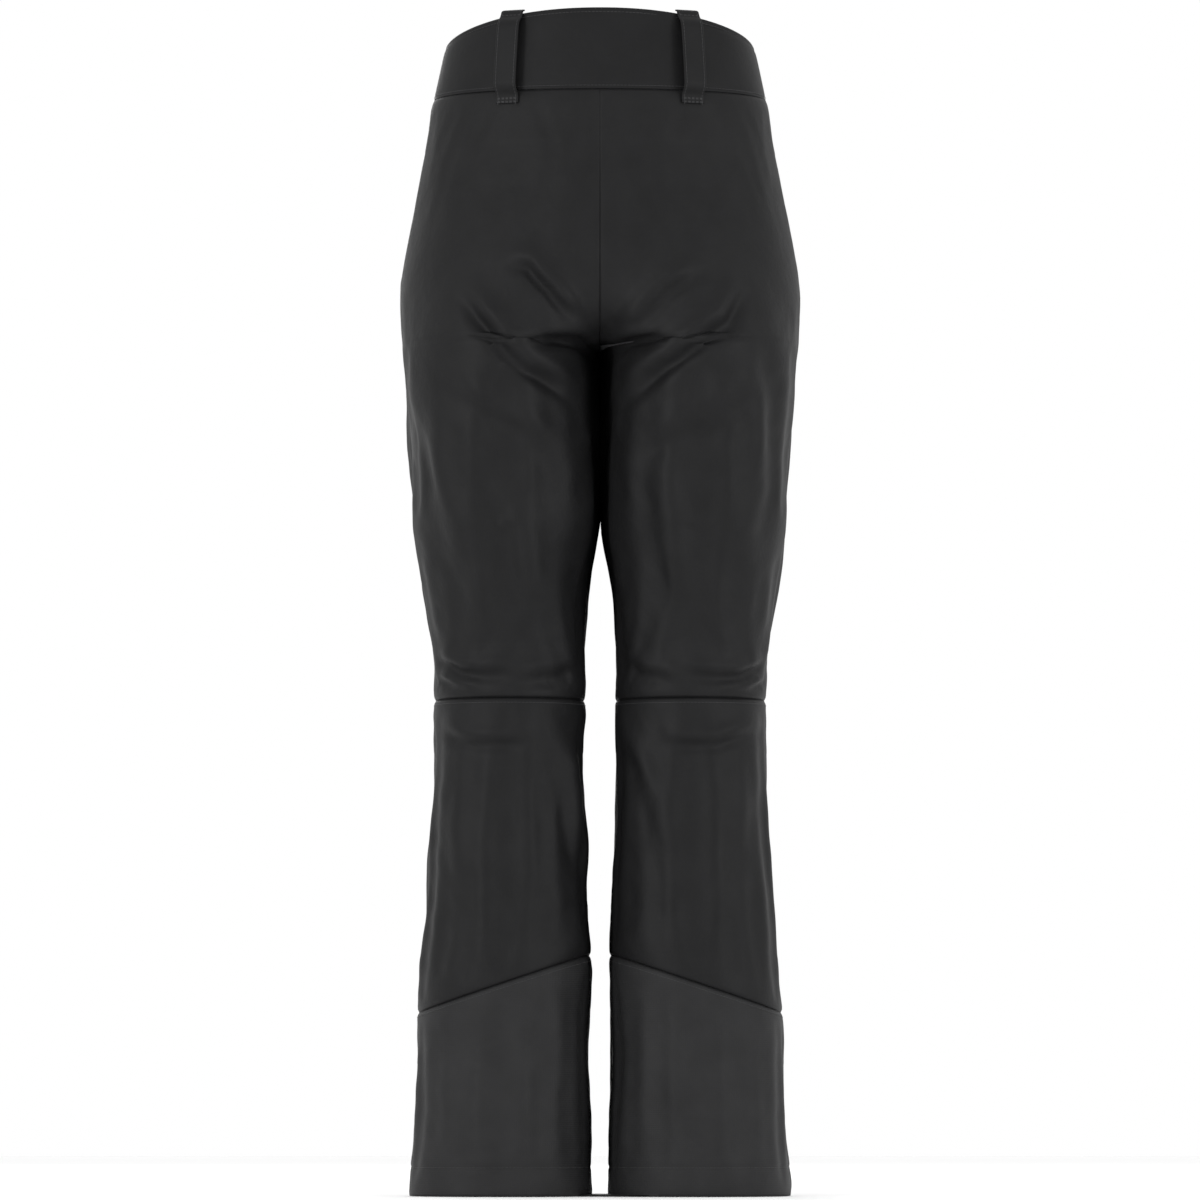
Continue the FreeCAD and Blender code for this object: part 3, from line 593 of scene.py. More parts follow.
SHELL = cloth_material("shell_cloth", (0.0062, 0.0062, 0.0065), (0.0114, 0.0114, 0.0119),
                       rough=0.52, sheen=0.0)
CUFF = cloth_material("cuff_cloth", (0.0125, 0.0125, 0.0129), (0.0226, 0.0226, 0.0233),
                      rough=0.55, sheen=0.0, pitch=0.0017, weave=0.45, crinkle=0.25)
BAND = cloth_material("band_cloth", (0.0055, 0.0055, 0.0058), (0.0100, 0.0100, 0.0105), rough=0.52,
                      sheen=0.0, crinkle=0.25)
LINING = cloth_material("quilted_lining", (0.040, 0.040, 0.043), (0.065, 0.065, 0.069),
                        rough=0.42, sheen=0.05, pitch=0.0009, weave=0.12, crinkle=0.5)
FACING = cloth_material("brushed_facing", (0.022, 0.022, 0.024), (0.042, 0.042, 0.045),
                        rough=0.85, sheen=0.5, pitch=0.0014, weave=0.4)
GAITER = cloth_material("gaiter_ripstop", (0.020, 0.020, 0.022), (0.040, 0.040, 0.043),
                        rough=0.5, sheen=0.05, pitch=0.004, weave=0.6)
WEBBING = cloth_material("webbing", (0.014, 0.014, 0.015), (0.030, 0.030, 0.031), rough=0.7,
                         sheen=0.1, pitch=0.0012, weave=0.8, crinkle=0.2)
ELASTIC = cloth_material("ribbed_elastic", (0.014, 0.014, 0.015), (0.030, 0.030, 0.031),
                         rough=0.6, sheen=0.05, pitch=0.0024, weave=0.9, crinkle=0.1)
THREAD = cloth_material("thread", (0.030, 0.030, 0.031), (0.050, 0.050, 0.052), rough=0.55,
                        sheen=0.1, pitch=0.0006, weave=0.3, mapped=False)
TEETH = hard_material("zip_teeth", (0.016, 0.016, 0.017), 0.0, 0.42)
SLIDER = hard_material("zip_slider", (0.05, 0.05, 0.053), 0.9, 0.34)
PULL = hard_material("zip_pull", (0.018, 0.018, 0.019), 0.0, 0.5)
SNAP = hard_material("press_stud", (0.075, 0.075, 0.08), 0.95, 0.3)
STEEL = hard_material("bent_steel", (0.48, 0.48, 0.5), 1.0, 0.28, wear=0.1)


# ---------------------------------------------------------------- where the zips lie
POCKET_LENGTH, POCKET_SINK = 0.145, 0.0028
POCKET_TOP, POCKET_BOTTOM = (0.133, -0.018), (0.158, -0.160)
FLY_LENGTH, FLY_TOP, FLY_SINK = 0.148, -0.005, 0.001


def front_y(x, z):
    """Where the front of the plain skin is."""
    mid, outer, _, front, _ = half_section(np.asarray(z, float))
    share = np.clip((x - mid) / outer, 0.0, 1.0)
    return -front * (1 - share ** ROUNDNESS) ** (1 / ROUNDNESS)


class Place:
    """A zip's own directions: across its teeth, out of the cloth and up along it."""

    def __init__(self, origin, out, up):
        self.origin, self.up = np.asarray(origin, float), unit(np.asarray(up, float))
        out = np.asarray(out, float)
        self.out = unit(out - self.up * (out @ self.up))
        self.across = np.cross(self.out, self.up)

    def at(self, across, out, up):
        return self.origin + self.across * across + self.out * out + self.up * up

    def gap(self, p, length):
        """Distance from points to the zip's line, or 1 where they are on another side."""
        d = p - self.origin
        a, b, c = d @ self.across, d @ self.up, d @ self.out
        far = np.hypot(a, b - np.clip(b, -length, 0.0))
        return np.where(np.abs(c) < 0.03, far, 1.0)

    def mirrored(self):
        flip = np.array([-1.0, 1.0, 1.0])
        return Place(self.origin * flip, self.out * flip, self.up * flip)


def unit(v):
    return v / np.maximum(np.linalg.norm(v, axis=-1, keepdims=True), 1e-12)


def pocket_place():
    (tx, tz), (bx, bz) = POCKET_TOP, POCKET_BOTTOM
    top, bottom = np.array([tx, front_y(tx, tz), tz]), np.array([bx, front_y(bx, bz), bz])
    mx, mz = (tx + bx) / 2, (tz + bz) / 2
    middle = np.array([mx, front_y(mx, mz), mz])
    beside = np.array([mx + 0.002, front_y(mx + 0.002, mz), mz])
    out = unit(np.cross(top - bottom, beside - middle))
    out = out if out[0] > 0 else -out
    bulge = (middle - (top + bottom) / 2) @ out
    return Place(top + out * (bulge / 2 - POCKET_SINK), out, top - bottom)


def fly_place():
    low = FLY_TOP - FLY_LENGTH
    y_top, y_low, y_mid = (float(-flow(z, LEVELS, FRONT)) for z in (FLY_TOP, low,
                                                                    (FLY_TOP + low) / 2))
    bulge = (y_top + y_low) / 2 - y_mid
    return Place((0, y_top - bulge / 2 + FLY_SINK, FLY_TOP), (0, -1, 0),
                 (0, y_top - y_low, FLY_LENGTH))


FLY = fly_place()
POCKET = {"left": pocket_place(), "right": pocket_place().mirrored()}
ZIPS = [("fly_zip", FLY, FLY_LENGTH, ("fly_zip_tapes", "fly_zip_teeth")),
        *((f"pocket_zip_{s}", POCKET[s], POCKET_LENGTH,
           (f"pocket_zip_tapes_{s}", f"pocket_zip_teeth_{s}")) for s in ("left", "right"))]


def opening_gap(p, side):
    """Distance from points to the nearest zip opening."""
    pocket = POCKET["left" if side > 0 else "right"].gap(p, POCKET_LENGTH)
    return np.minimum(pocket, FLY.gap(p, FLY_LENGTH))


# ---------------------------------------------------------------- leg and seat shells
def groove(distance, depth, width):
    return depth * np.exp(-(distance / width) ** 2)


def puff(distance, height, reach):
    """A padded swell that starts at a seam and dies away from it."""
    t = np.abs(distance) / reach
    return height * t * np.exp(1 - t) * np.where(t < 4, 1, 0)


def finish_cloth(grid, side):
    """Adds seams, folds and swells to the fine grid of one side."""
    shape = grid.shape
    p = grid.reshape(-1, 3)
    normal = grid_normals(grid).reshape(-1, 3)
    outward = np.sign((normal * skin_slope(p)).sum(1)[shape[1] * 4 + 40])
    normal = normal * outward
    z = p[:, 2]
    x = p[:, 0] * side
    move = hang(p)
    hold = seam_hold(p)
    openings = opening_gap(p, side)
    calm = ease((openings - 0.012) / 0.02)
    move = move * (1 - 0.92 * hold) * (0.05 + 0.95 * calm)
    centre = np.where(z > CROTCH_Z, np.abs(p[:, 0]), 1.0)
    outer_seam = np.where(x > 0.09, np.abs(p[:, 1]), 1.0)
    inseam = np.where(z <= CROTCH_Z, np.hypot(x - flow(np.minimum(z, CROTCH_Z), GAP_LEVELS,
                                                       HALF_GAP), p[:, 1]), 1.0)
    move -= groove(outer_seam, 0.0008, 0.0022)
    move -= groove(inseam, 0.0012, 0.003)
    back_centre = np.where(p[:, 1] > 0, centre, 1.0)
    move -= groove(back_centre, 0.0005, 0.0016) * ease((-0.05 - z) / 0.06)
    front_centre = np.where((p[:, 1] < 0) & (z < -0.150), centre, 1.0)
    move -= groove(front_centre, 0.0012, 0.0022)
    for line in (KNEE_Z, cuff_height(p[:, 0])):
        gap = z - line
        move -= groove(gap, 0.0010, 0.0018)
        move += puff(gap, 0.0010, 0.012)
    move += puff(z, 0.0013, 0.012)
    move -= groove(z - (HEM_Z + HEM_TURN_UP), 0.0007, 0.0016)
    move += puff(z - HEM_Z, 0.0008, 0.009)
    p = p + normal * move[:, None]
    deep = np.maximum(0.0, -0.0070 - skin_depth(p))
    p = p + normal * deep[:, None]
    below = ease((CROTCH_Z - z) / 0.009) * ease((z + 0.470) / 0.110)
    nearest = (p[:, 0] * side).reshape(shape[:2]).min(axis=1).repeat(shape[1])
    inner = np.exp(-(np.maximum(0.0, p[:, 0] * side - nearest) / 0.024) ** 2)
    p[:, 0] -= side * (nearest + 0.0025) * below * inner
    touch = 0.0022 * np.sin(p[:, 1] * 110.0) * below
    keep = np.where(z <= CROTCH_Z, 0.00012, 0.0)
    p[:, 0] = side * np.maximum(p[:, 0] * side, side * touch + keep)
    p[:, 2] = np.clip(p[:, 2], HEM_Z, 0.0)
    closed = grid[:, 0, 2] <= CROTCH_Z
    fine = p.reshape(shape)
    fine[~closed, 0, 0] = fine[~closed, -1, 0] = 0.0
    seam = (fine[closed, 0] + fine[closed, -1]) / 2
    fine[closed, 0] = fine[closed, -1] = seam
    return fine


def panel(name, grid, side, thickness, uv):
    piece = grid_piece(name, grid, flip=side < 0, uv=uv,
                       hole=lambda p: opening_gap(p, side) < ZIP_CUT)
    weld(piece, 1e-5)
    turn_outward(piece)
    wall = piece.modifiers.new("wall", "SOLIDIFY")
    wall.thickness = thickness
    wall.offset = -1.0
    wall.use_even_offset = False
    return bake_modifiers(piece)


def turn_outward(piece):
    """Turns the faces of a leg piece to look away from the leg."""
    data = piece.data
    centres = np.empty(len(data.polygons) * 3)
    normals = np.empty(len(data.polygons) * 3)
    data.polygons.foreach_get("center", centres)
    data.polygons.foreach_get("normal", normals)
    centres, normals = centres.reshape(-1, 3), normals.reshape(-1, 3)
    slopes = skin_slope(centres)
    if (slopes * normals).sum() < 0:
        data.flip_normals()


coarse_left = side_grid()
coarse_right = coarse_left * np.array([-1.0, 1.0, 1.0])
coarse_left, coarse_right = drape(coarse_left, coarse_right)
weave = weave_map(finer(side_grid(), FINER))
cloth = {"left": finish_cloth(finer(coarse_left, FINER), 1),
         "right": finish_cloth(finer(coarse_right, FINER), -1)}
KNEE_ROW, CUFF_ROW = ROWS_UPPER * FINER, (ROWS_UPPER + ROWS_LOWER) * FINER
SIDES = (("left", 1), ("right", -1))
hip_turn = {s: dict(start=(0, 0, fold_height(0.0) + 0.004),
                    end=(side * HIP_BEND * math.sin(FOLD_ANGLE), 0,
                         fold_height(0.0) - HIP_BEND * math.cos(FOLD_ANGLE)))
            for s, side in SIDES}
knee_turn = dict(start=(0, 0, KNEE_Z), end=(0, 0, KNEE_Z - KNEE_BEND))


def finish_piece(piece, material, body=None, replaces=(), bend=None):
    piece.data.materials.clear()
    piece.data.materials.append(material)
    if bend:
        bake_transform(piece)
    else:
        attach(piece, body)
    if replaces:
        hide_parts(*replaces)
    return piece


for name, side in SIDES:
    fine = cloth[name]
    upper = panel(f"upper_leg_{name}", fine[:KNEE_ROW + 1], side, SHELL_WALL,
                  weave[:KNEE_ROW + 1])
    finish_piece(upper, SHELL,
                 bend=(("pelvis", f"thigh_{name}"), hip_turn[name]),
                 replaces=[f"{part}_{name}" for part in
                           ("seat_panel", "hip_panel", "thigh_back", "thigh_front")])
    lower = panel(f"lower_leg_{name}", fine[KNEE_ROW:CUFF_ROW + 1], side, SHELL_WALL,
                  weave[KNEE_ROW:CUFF_ROW + 1])
    finish_piece(lower, SHELL,
                 bend=((f"thigh_{name}", f"shin_{name}"), knee_turn),
                 replaces=[f"calf_panel_{name}", f"shin_panel_{name}"])
    cuff_grid = fine[CUFF_ROW:]
    rows = [settle(cuff_grid[-1] * [1, 1, 0] + [0, 0, HEM_Z + h], -d)[None]
            for h, d in ((0.0002, 0.0012), (0.0008, 0.0026), (0.004, 0.0030), (0.010, 0.0030),
                         (0.018, 0.0030), (HEM_TURN_UP, 0.0028))]
    cuff_grid = np.concatenate([cuff_grid, *rows])
    cuff_grid[:, -1] = cuff_grid[:, 0]
    cuff = panel(f"cuff_cloth_{name}", cuff_grid, side, CUFF_WALL, weave_map(cuff_grid))
    finish_piece(cuff, CUFF, body=f"shin_{name}", replaces=[f"cuff_{name}"])


# ---------------------------------------------------------------- straps, slabs and rows
def rounded(points, rounds=3):
    """Cuts the corners of an open path a few times, so it bends softly."""
    p = np.asarray(points, float)
    for _ in range(rounds):
        near, far = p[:-1] * 0.75 + p[1:] * 0.25, p[:-1] * 0.25 + p[1:] * 0.75
        mixed = np.stack([near, far], axis=1).reshape(-1, 3)
        p = np.vstack([p[:1], mixed[1:-1], p[-1:]])
    return p


def even(points, step):
    """The same path with points at even steps."""
    run = np.linalg.norm(np.diff(points, axis=0), axis=1)
    run = np.concatenate([[0.0], np.cumsum(run)])
    at = np.linspace(0.0, run[-1], max(2, int(round(run[-1] / step))) + 1)
    return np.stack([np.interp(at, run, points[:, k]) for k in range(3)], axis=1)


def strap(name, path, outward, width, wall, ring=False, square=0.3):
    """A flat tape of that width and thickness along a path, facing outward."""
    path = np.asarray(path, float)
    if ring:
        tangent = np.roll(path, -1, axis=0) - np.roll(path, 1, axis=0)
    else:
        tangent = np.gradient(path, axis=0)
    tangent = unit(tangent)
    outward = np.broadcast_to(np.asarray(outward, float), path.shape)
    outward = unit(outward - (outward * tangent).sum(1)[:, None] * tangent)
    across = np.cross(tangent, outward)
    turn = np.linspace(0, 2 * math.pi, 21)[:-1]
    u, v = power(np.cos(turn), square) * width / 2, power(np.sin(turn), 0.7) * wall / 2
    grid = (path[:, None] + across[:, None] * u[None, :, None]
            + outward[:, None] * v[None, :, None])
    run = np.concatenate([[0.0], np.cumsum(np.linalg.norm(np.diff(path, axis=0), axis=1))])
    if ring:
        grid = np.concatenate([grid, grid[:1]])
        run = np.append(run, run[-1] + np.linalg.norm(path[0] - path[-1]))
    rows, columns = grid.shape[:2]
    faces = [tuple(f) for f in grid_faces(rows, columns, wrap=True)]
    if not ring:
        faces += [tuple(range(columns)),
                  tuple(range((rows - 1) * columns, rows * columns))[::-1]]
    uv = np.stack([np.broadcast_to(u, (rows, columns)),
                   np.broadcast_to(run[:, None], (rows, columns))], axis=-1)
    piece = mesh_piece(name, grid.reshape(-1, 3), faces, uv.reshape(-1, 2))
    return face_out(weld(piece, 1e-6))


def slab(name, outer, inner, bevel=0.0005, wrap=False):
    """A closed solid between two matching grids, with rounded edges."""
    rows, columns = outer.shape[:2]
    count = rows * columns
    faces = [tuple(f) for f in grid_faces(rows, columns, wrap)]
    faces += [tuple(f) for f in grid_faces(rows, columns, wrap, flip=True, start=count)]
    wide = columns if wrap else columns - 1
    for c in range(wide):
        n = (c + 1) % columns
        faces.append((c, n, count + n, count + c))
        low = (rows - 1) * columns
        faces.append((low + n, low + c, count + low + c, count + low + n))
    if not wrap:
        for r in range(rows - 1):
            a, b = r * columns, (r + 1) * columns
            faces.append((b, a, count + a, count + b))
            a, b = a + columns - 1, b + columns - 1
            faces.append((a, b, count + b, count + a))
    points = np.vstack([outer.reshape(-1, 3), inner.reshape(-1, 3)])
    steps = np.linalg.norm(np.diff(outer[0], axis=0), axis=1)
    along = np.concatenate([[0.0], np.cumsum(steps)])
    uv = np.stack([np.broadcast_to(along, (rows, columns)), outer[..., 2]], axis=-1)
    uv = np.vstack([uv.reshape(-1, 2)] * 2)
    piece = face_out(mesh_piece(name, points, faces, uv))
    if bevel:
        edge = piece.modifiers.new("edge", "BEVEL")
        edge.width = bevel
        edge.segments = 2
        edge.limit_method = "ANGLE"
        edge.angle_limit = math.radians(50)
        bake_modifiers(piece)
        piece.data.polygons.foreach_set("use_smooth", [True] * len(piece.data.polygons))
    return piece


def join(name, pieces):
    """One mesh from several, in order."""
    work = bmesh.new()
    for piece in pieces:
        work.from_mesh(piece.data)
        bpy.data.objects.remove(piece)
    mesh = bpy.data.meshes.new(name)
    work.to_mesh(mesh)
    work.free()
    whole = bpy.data.objects.new(name, mesh)
    bpy.context.scene.collection.objects.link(whole)
    return whole


def row_tree():
    """Nodes that lay one small thing after another along paths."""
    tree = bpy.data.node_groups.new("row_of_small_things", "GeometryNodeTree")
    face = tree.interface
    face.new_socket("Paths", in_out="INPUT", socket_type="NodeSocketGeometry")
    for name, kind in (("Pitch", "NodeSocketFloat"), ("Size", "NodeSocketVector"),
                       ("Facing", "NodeSocketVector"), ("Sides", "NodeSocketInt"),
                       ("Finish", "NodeSocketMaterial")):
        face.new_socket(name, in_out="INPUT", socket_type=kind)
    face.new_socket("Row", in_out="OUTPUT", socket_type="NodeSocketGeometry")
    nodes, links = tree.nodes, tree.links
    given, result = nodes.new("NodeGroupInput"), nodes.new("NodeGroupOutput")
    curve = nodes.new("GeometryNodeMeshToCurve")
    points = nodes.new("GeometryNodeCurveToPoints")
    points.mode = "LENGTH"
    thing = nodes.new("GeometryNodeMeshCylinder")
    thing.inputs["Radius"].default_value = 0.5
    thing.inputs["Depth"].default_value = 1.0
    along = nodes.new("FunctionNodeAlignRotationToVector")
    along.axis = "Z"
    facing = nodes.new("FunctionNodeAlignRotationToVector")
    facing.axis, facing.pivot_axis = "X", "Z"
    place = nodes.new("GeometryNodeInstanceOnPoints")
    real = nodes.new("GeometryNodeRealizeInstances")
    finish = nodes.new("GeometryNodeSetMaterial")
    for start, end in (
            (given.outputs["Paths"], curve.inputs[0]), (curve.outputs[0], points.inputs["Curve"]),
            (given.outputs["Pitch"], points.inputs["Length"]),
            (points.outputs["Tangent"], along.inputs["Vector"]),
            (along.outputs["Rotation"], facing.inputs["Rotation"]),
            (given.outputs["Facing"], facing.inputs["Vector"]),
            (given.outputs["Sides"], thing.inputs["Vertices"]),
            (thing.outputs["Mesh"], place.inputs["Instance"]),
            (points.outputs["Points"], place.inputs["Points"]),
            (facing.outputs["Rotation"], place.inputs["Rotation"]),
            (given.outputs["Size"], place.inputs["Scale"]),
            (place.outputs["Instances"], real.inputs[0]),
            (real.outputs[0], finish.inputs["Geometry"]),
            (given.outputs["Finish"], finish.inputs["Material"]),
            (finish.outputs["Geometry"], result.inputs["Row"])):
        links.new(start, end)
    return tree


ROW = row_tree()


def row_of(name, paths, pitch, size, material, facing=(0, 0, 1), sides=6):
    """Small things of one size laid along paths, such as stitches or zip teeth."""
    points, edges = [], []
    for path in paths:
        first = len(points)
        points += [tuple(map(float, p)) for p in path]
        edges += [(k, k + 1) for k in range(first, len(points) - 1)]
    mesh = bpy.data.meshes.new(name)
    mesh.from_pydata(points, edges, [])
    piece = bpy.data.objects.new(name, mesh)
    bpy.context.scene.collection.objects.link(piece)
    layer = piece.modifiers.new("row", "NODES")
    layer.node_group = ROW
    values = {"Pitch": pitch, "Size": size, "Facing": facing, "Sides": sides,
              "Finish": material}
    for item in ROW.interface.items_tree:
        if item.item_type == "SOCKET" and item.in_out == "INPUT" and item.name in values:
            layer[item.identifier] = values[item.name]
    return bake_modifiers(piece)


# ---------------------------------------------------------------- waistband
def band_ring(z, angle, depth):
    side, front, back = (BAND_SIDE - LEAN_SIDE * z - depth, BAND_FRONT - LEAN_FRONT * z - depth,
                         BAND_BACK - LEAN_BACK * z - depth)
    c, s = np.cos(angle), np.sin(angle)
    x = power(c, 2 / ROUNDNESS) * side
    y = power(s, 2 / ROUNDNESS) * np.where(s > 0, back, front)
    return np.stack([x, y, z * np.ones_like(x)], axis=-1)


def front_angle(x, z, depth=0.0):
    """The angle of the band's front at a distance from the middle."""
    side = BAND_SIDE - LEAN_SIDE * z - depth
    c = power(x / side, ROUNDNESS / 2)
    return -np.arccos(np.clip(c, -1, 1))


def top_circle():
    """Centre height and radius of the arc that the band's top edge follows, seen from the side."""
    (ya, za), (yb, zb), (yc, zc) = ((-BAND_FRONT, BAND_TOP_FRONT), (0.0, BAND_TOP_SIDE),
                                    (BAND_BACK, BAND_TOP_BACK))
    d = 2 * (ya * (zb - zc) + yb * (zc - za) + yc * (za - zb))
    a, b, c = ya * ya + za * za, yb * yb + zb * zb, yc * yc + zc * zc
    y = (a * (zb - zc) + b * (zc - za) + c * (za - zb)) / d
    z = (a * (yc - yb) + b * (ya - yc) + c * (yb - ya)) / d
    return y, z, math.hypot(yb - y, zb - z)


TOP_Y, TOP_Z, TOP_RADIUS = top_circle()


def band_top(y):
    y = np.clip(y, -BAND_FRONT, BAND_BACK)
    return TOP_Z - np.sqrt(TOP_RADIUS ** 2 - (y - TOP_Y) ** 2)


def band_slab(name, start_x, end_x, outer, inner, low, below_top, rows, columns, swell=0.0,
              whole=False, bevel=0.0007):
    """A stretch of the band between two places on its front, going round the back if whole."""
    share = np.linspace(0.0, 1.0, columns)
    grids = []
    for depth in (outer, inner):
        top = np.full(columns, 0.05)
        for _ in range(4):
            a0 = front_angle(start_x, top, depth)
            a1 = front_angle(end_x, top, depth) + (2 * math.pi if whole else 0.0)
            top = band_top(band_ring(top, a0 + (a1 - a0) * share, depth)[:, 1]) - below_top
        height = low + (top[None] - low) * np.linspace(0.0, 1.0, rows)[:, None]
        a0 = front_angle(start_x, height, depth)
        a1 = front_angle(end_x, height, depth) + (2 * math.pi if whole else 0.0)
        grid = band_ring(height, a0 + (a1 - a0) * share[None], depth)
        grids.append(grid)
    if swell:
        up = np.linspace(0.0, 1.0, rows)[:, None, None]
        full = (1 - (2 * up - 1) ** 6) * swell
        face = grids[0]
        out = unit(face * [1, 1, 0])
        soft = ripple(face.reshape(-1, 3), 0.07, 31).reshape(rows, columns, 1) * 0.00035
        near_top = (band_top(face[..., 1]) - face[..., 2])[..., None]
        hinge = np.abs(face[..., :1] - TAB_HINGE_X) + np.maximum(face[..., 1:2] + 0.08, 0.0)
        flat_there = ease((hinge - 0.001) / 0.009)
        full, soft = full * flat_there, soft * flat_there
        line = groove(near_top - 0.0045, 0.0006, 0.0011) + groove(
            face[..., 2:] - 0.0035, 0.0006, 0.0011)
        grids[0] = face + out * (full + soft * (full > 0) - line)
    return slab(name, grids[0], grids[1], bevel)


band = band_slab("waistband", TAB_HINGE_X + 0.0002, TAB_END_X - 0.0004, 0.0, 0.0022, 0.0004, 0.0,
                 29, 420, swell=0.0009, whole=True)
underlap = band_slab("underlap", UNDERLAP_ROOT_X, UNDERLAP_END_X, 0.0042, 0.0060, 0.0020, 0.0006,
                     12, 40)
underlap_join = band_slab("underlap_join", UNDERLAP_ROOT_X, TAB_END_X - 0.0006, 0.0024, 0.0041,
                          0.0020, 0.0006, 12, 20)
band = join("waistband", [band, underlap, underlap_join])
finish_piece(band, BAND, body="pelvis",
             replaces=["waistband_back", "waistband_front_left", "waistband_front_right"])

tab = band_slab("tab_cloth", TAB_HINGE_X - 0.0002, TAB_END_X, 0.0, 0.0022, 0.0004, 0.0, 29, 36,
                swell=0.0005)
finish_piece(tab, BAND, body="waist_tab", replaces=["waist_tab"])

facing = band_slab("facing_cloth", TAB_HINGE_X + 0.0005, UNDERLAP_ROOT_X - 0.0022, 0.0024,
                   0.0040, 0.0004, 0.0010, 16, 220, whole=True)
finish_piece(facing, FACING, body="pelvis", replaces=["waistband_facing"])


# ---------------------------------------------------------------- belt loops and hanger loop
LOOP_WIDTH, LOOP_WALL, LOOP_STAND_OFF = 0.022, 0.0018, 0.009


def reach_of(z, nx, ny):
    """The furthest reach of the garment's section in a direction, and the sideways place of it."""
    turn = np.linspace(0, 2 * math.pi, 721)
    if z >= 0:
        ring = band_ring(np.full(721, z), turn, 0.0)
    else:
        mid, outer, inner, front, back = half_section(np.full(721, z))
        c, s = np.cos(turn), np.sin(turn)
        ring = np.stack([mid + power(c, 2 / ROUNDNESS) * np.where(c > 0, outer, inner),
                         power(s, 2 / ROUNDNESS) * np.where(s > 0, back, front), turn], axis=-1)
    reach = ring[:, 0] * nx + ring[:, 1] * ny
    best = int(np.argmax(reach))
    return reach[best], -ring[best, 0] * ny + ring[best, 1] * nx


def belt_loop(name, angle, top, low_off=0.0003):
    """A folded and stitched tape, sewn flat at both ends, that a belt passes behind."""
    nx, ny = math.sin(angle), math.cos(angle)
    place = reach_of(top / 2, nx, ny)[1]
    feet = [(-0.012, 0.0), (-0.0045, 0.0), (0.003, LOOP_STAND_OFF * 0.9), (0.012, LOOP_STAND_OFF),
            (top - 0.020, LOOP_STAND_OFF), (top - 0.010, LOOP_STAND_OFF * 0.9),
            (top - 0.004, 0.0016), (top + 0.0008, 0.0004), (top + 0.0016, -0.0034)]
    path = []
    for z, off in feet:
        reach = max(reach_of(z + d, nx, ny)[0] for d in (-0.004, 0.0, 0.004))
        reach += low_off + 0.0006 + LOOP_WALL / 2 + off
        path.append((nx * reach - ny * place, ny * reach + nx * place, z))
    path = even(rounded(path, 3), 0.0011)
    tape = strap(name, path, (nx, ny, 0.0), LOOP_WIDTH, LOOP_WALL, square=0.16)
    return tape, path, np.array([nx, ny, 0.0]), np.array([-ny, nx, 0.0])


stitch_paths = {}


def stitch(body, path):
    stitch_paths.setdefault(body, []).append(np.asarray(path, float))


for where, angle, top in (("back", math.radians(23.5), 0.0735),
                          ("front", math.radians(152), 0.046)):
    for name, side in SIDES:
        loop, path, out, across = belt_loop(f"belt_tape_{where}_{name}", angle * side, top)
        finish_piece(loop, BAND, body="pelvis",
                     replaces=[f"belt_loop_{where}_{name}"])
        face = path + out * (LOOP_WALL / 2 + 0.00005)
        for off in (-0.0088, 0.0088):
            stitch("pelvis", face + across * off)
        for z in (-0.0105, -0.0080, top - 0.0035):
            at = face[np.argmin(np.abs(face[:, 2] - z))]
            for row in (-0.0006, 0.0, 0.0006):
                stitch("pelvis", [at + across * s + np.array([0, 0, row])
                                  for s in np.linspace(-0.008, 0.008, 9)])

wall = BAND_BACK - LEAN_BACK * 0.066 - 0.0042
hanger_path = even(rounded([(0, wall, 0.066), (0, wall - 0.0004, 0.060), (0, wall - 0.0075, 0.055),
                            (0, wall - 0.0085, 0.049), (0, wall - 0.0075, 0.042),
                            (0, wall - 0.0008, 0.037), (0, wall - 0.0006, 0.032)], 3), 0.001)
hanger = strap("hanger_tape", hanger_path, (0, -1, 0), 0.008, 0.0014, square=0.2)
finish_piece(hanger, WEBBING, body="pelvis", replaces=["hanger_loop"])


# ---------------------------------------------------------------- quilted linings
def quilt(p, side):
    """How far the lining puffs inward between its sewn channels."""
    around = np.arctan2(p[:, 1], (p[:, 0] * side - half_section(p[:, 2])[0])) * 0.105
    a = np.abs(np.sin((around + p[:, 2]) * math.pi / 0.062))
    b = np.abs(np.sin((around - p[:, 2]) * math.pi / 0.062))
    return 0.0030 * np.minimum(np.sqrt(a), np.sqrt(b)) + 0.0004 * ripple(p, 0.02, 41)


def lining(name, rows, side):
    """A quilted layer on a stretch of rows of the plain skin."""
    flat = rows.reshape(-1, 3)
    depth = LINING_DEPTH - 0.0054 * ease((flat[:, 2] + 0.0085) / 0.0085)
    outer = settle(flat, -depth, 6)
    inner = settle(flat, -depth - 0.0016, 6)
    toward = unit(skin_slope(inner) * [1, 1, 0])
    inner = inner - toward * quilt(inner, side)[:, None]
    for layer in (outer, inner):
        layer[:, 0] = side * np.maximum(layer[:, 0] * side, 0.0004 * (layer[:, 2] <= CROTCH_Z))
    return slab(name, outer.reshape(rows.shape), inner.reshape(rows.shape), bevel=0.0)


plain = finer(side_grid(), 1)
hem_row = int(np.argmin(np.abs(plain[:, 0, 2] - (HEM_Z + HEM_TURN_UP + 0.002))))
for name, side in SIDES:
    skin_side = plain * np.array([side, 1.0, 1.0])
    top = lining(f"lining_upper_{name}", skin_side[:ROWS_UPPER + 1], side)
    finish_piece(top, LINING,
                 bend=(("pelvis", f"thigh_{name}"), hip_turn[name]),
                 replaces=[f"lining_thigh_{name}"] + (["lining_seat"] if side > 0 else []))
    low_rows = skin_side[ROWS_UPPER:hem_row + 1].copy()
    low_rows[:, -1] = low_rows[:, 0]
    bottom = lining(f"lining_lower_{name}", low_rows, side)
    finish_piece(bottom, LINING,
                 bend=((f"thigh_{name}", f"shin_{name}"), knee_turn),
                 replaces=[f"lining_shin_{name}"])


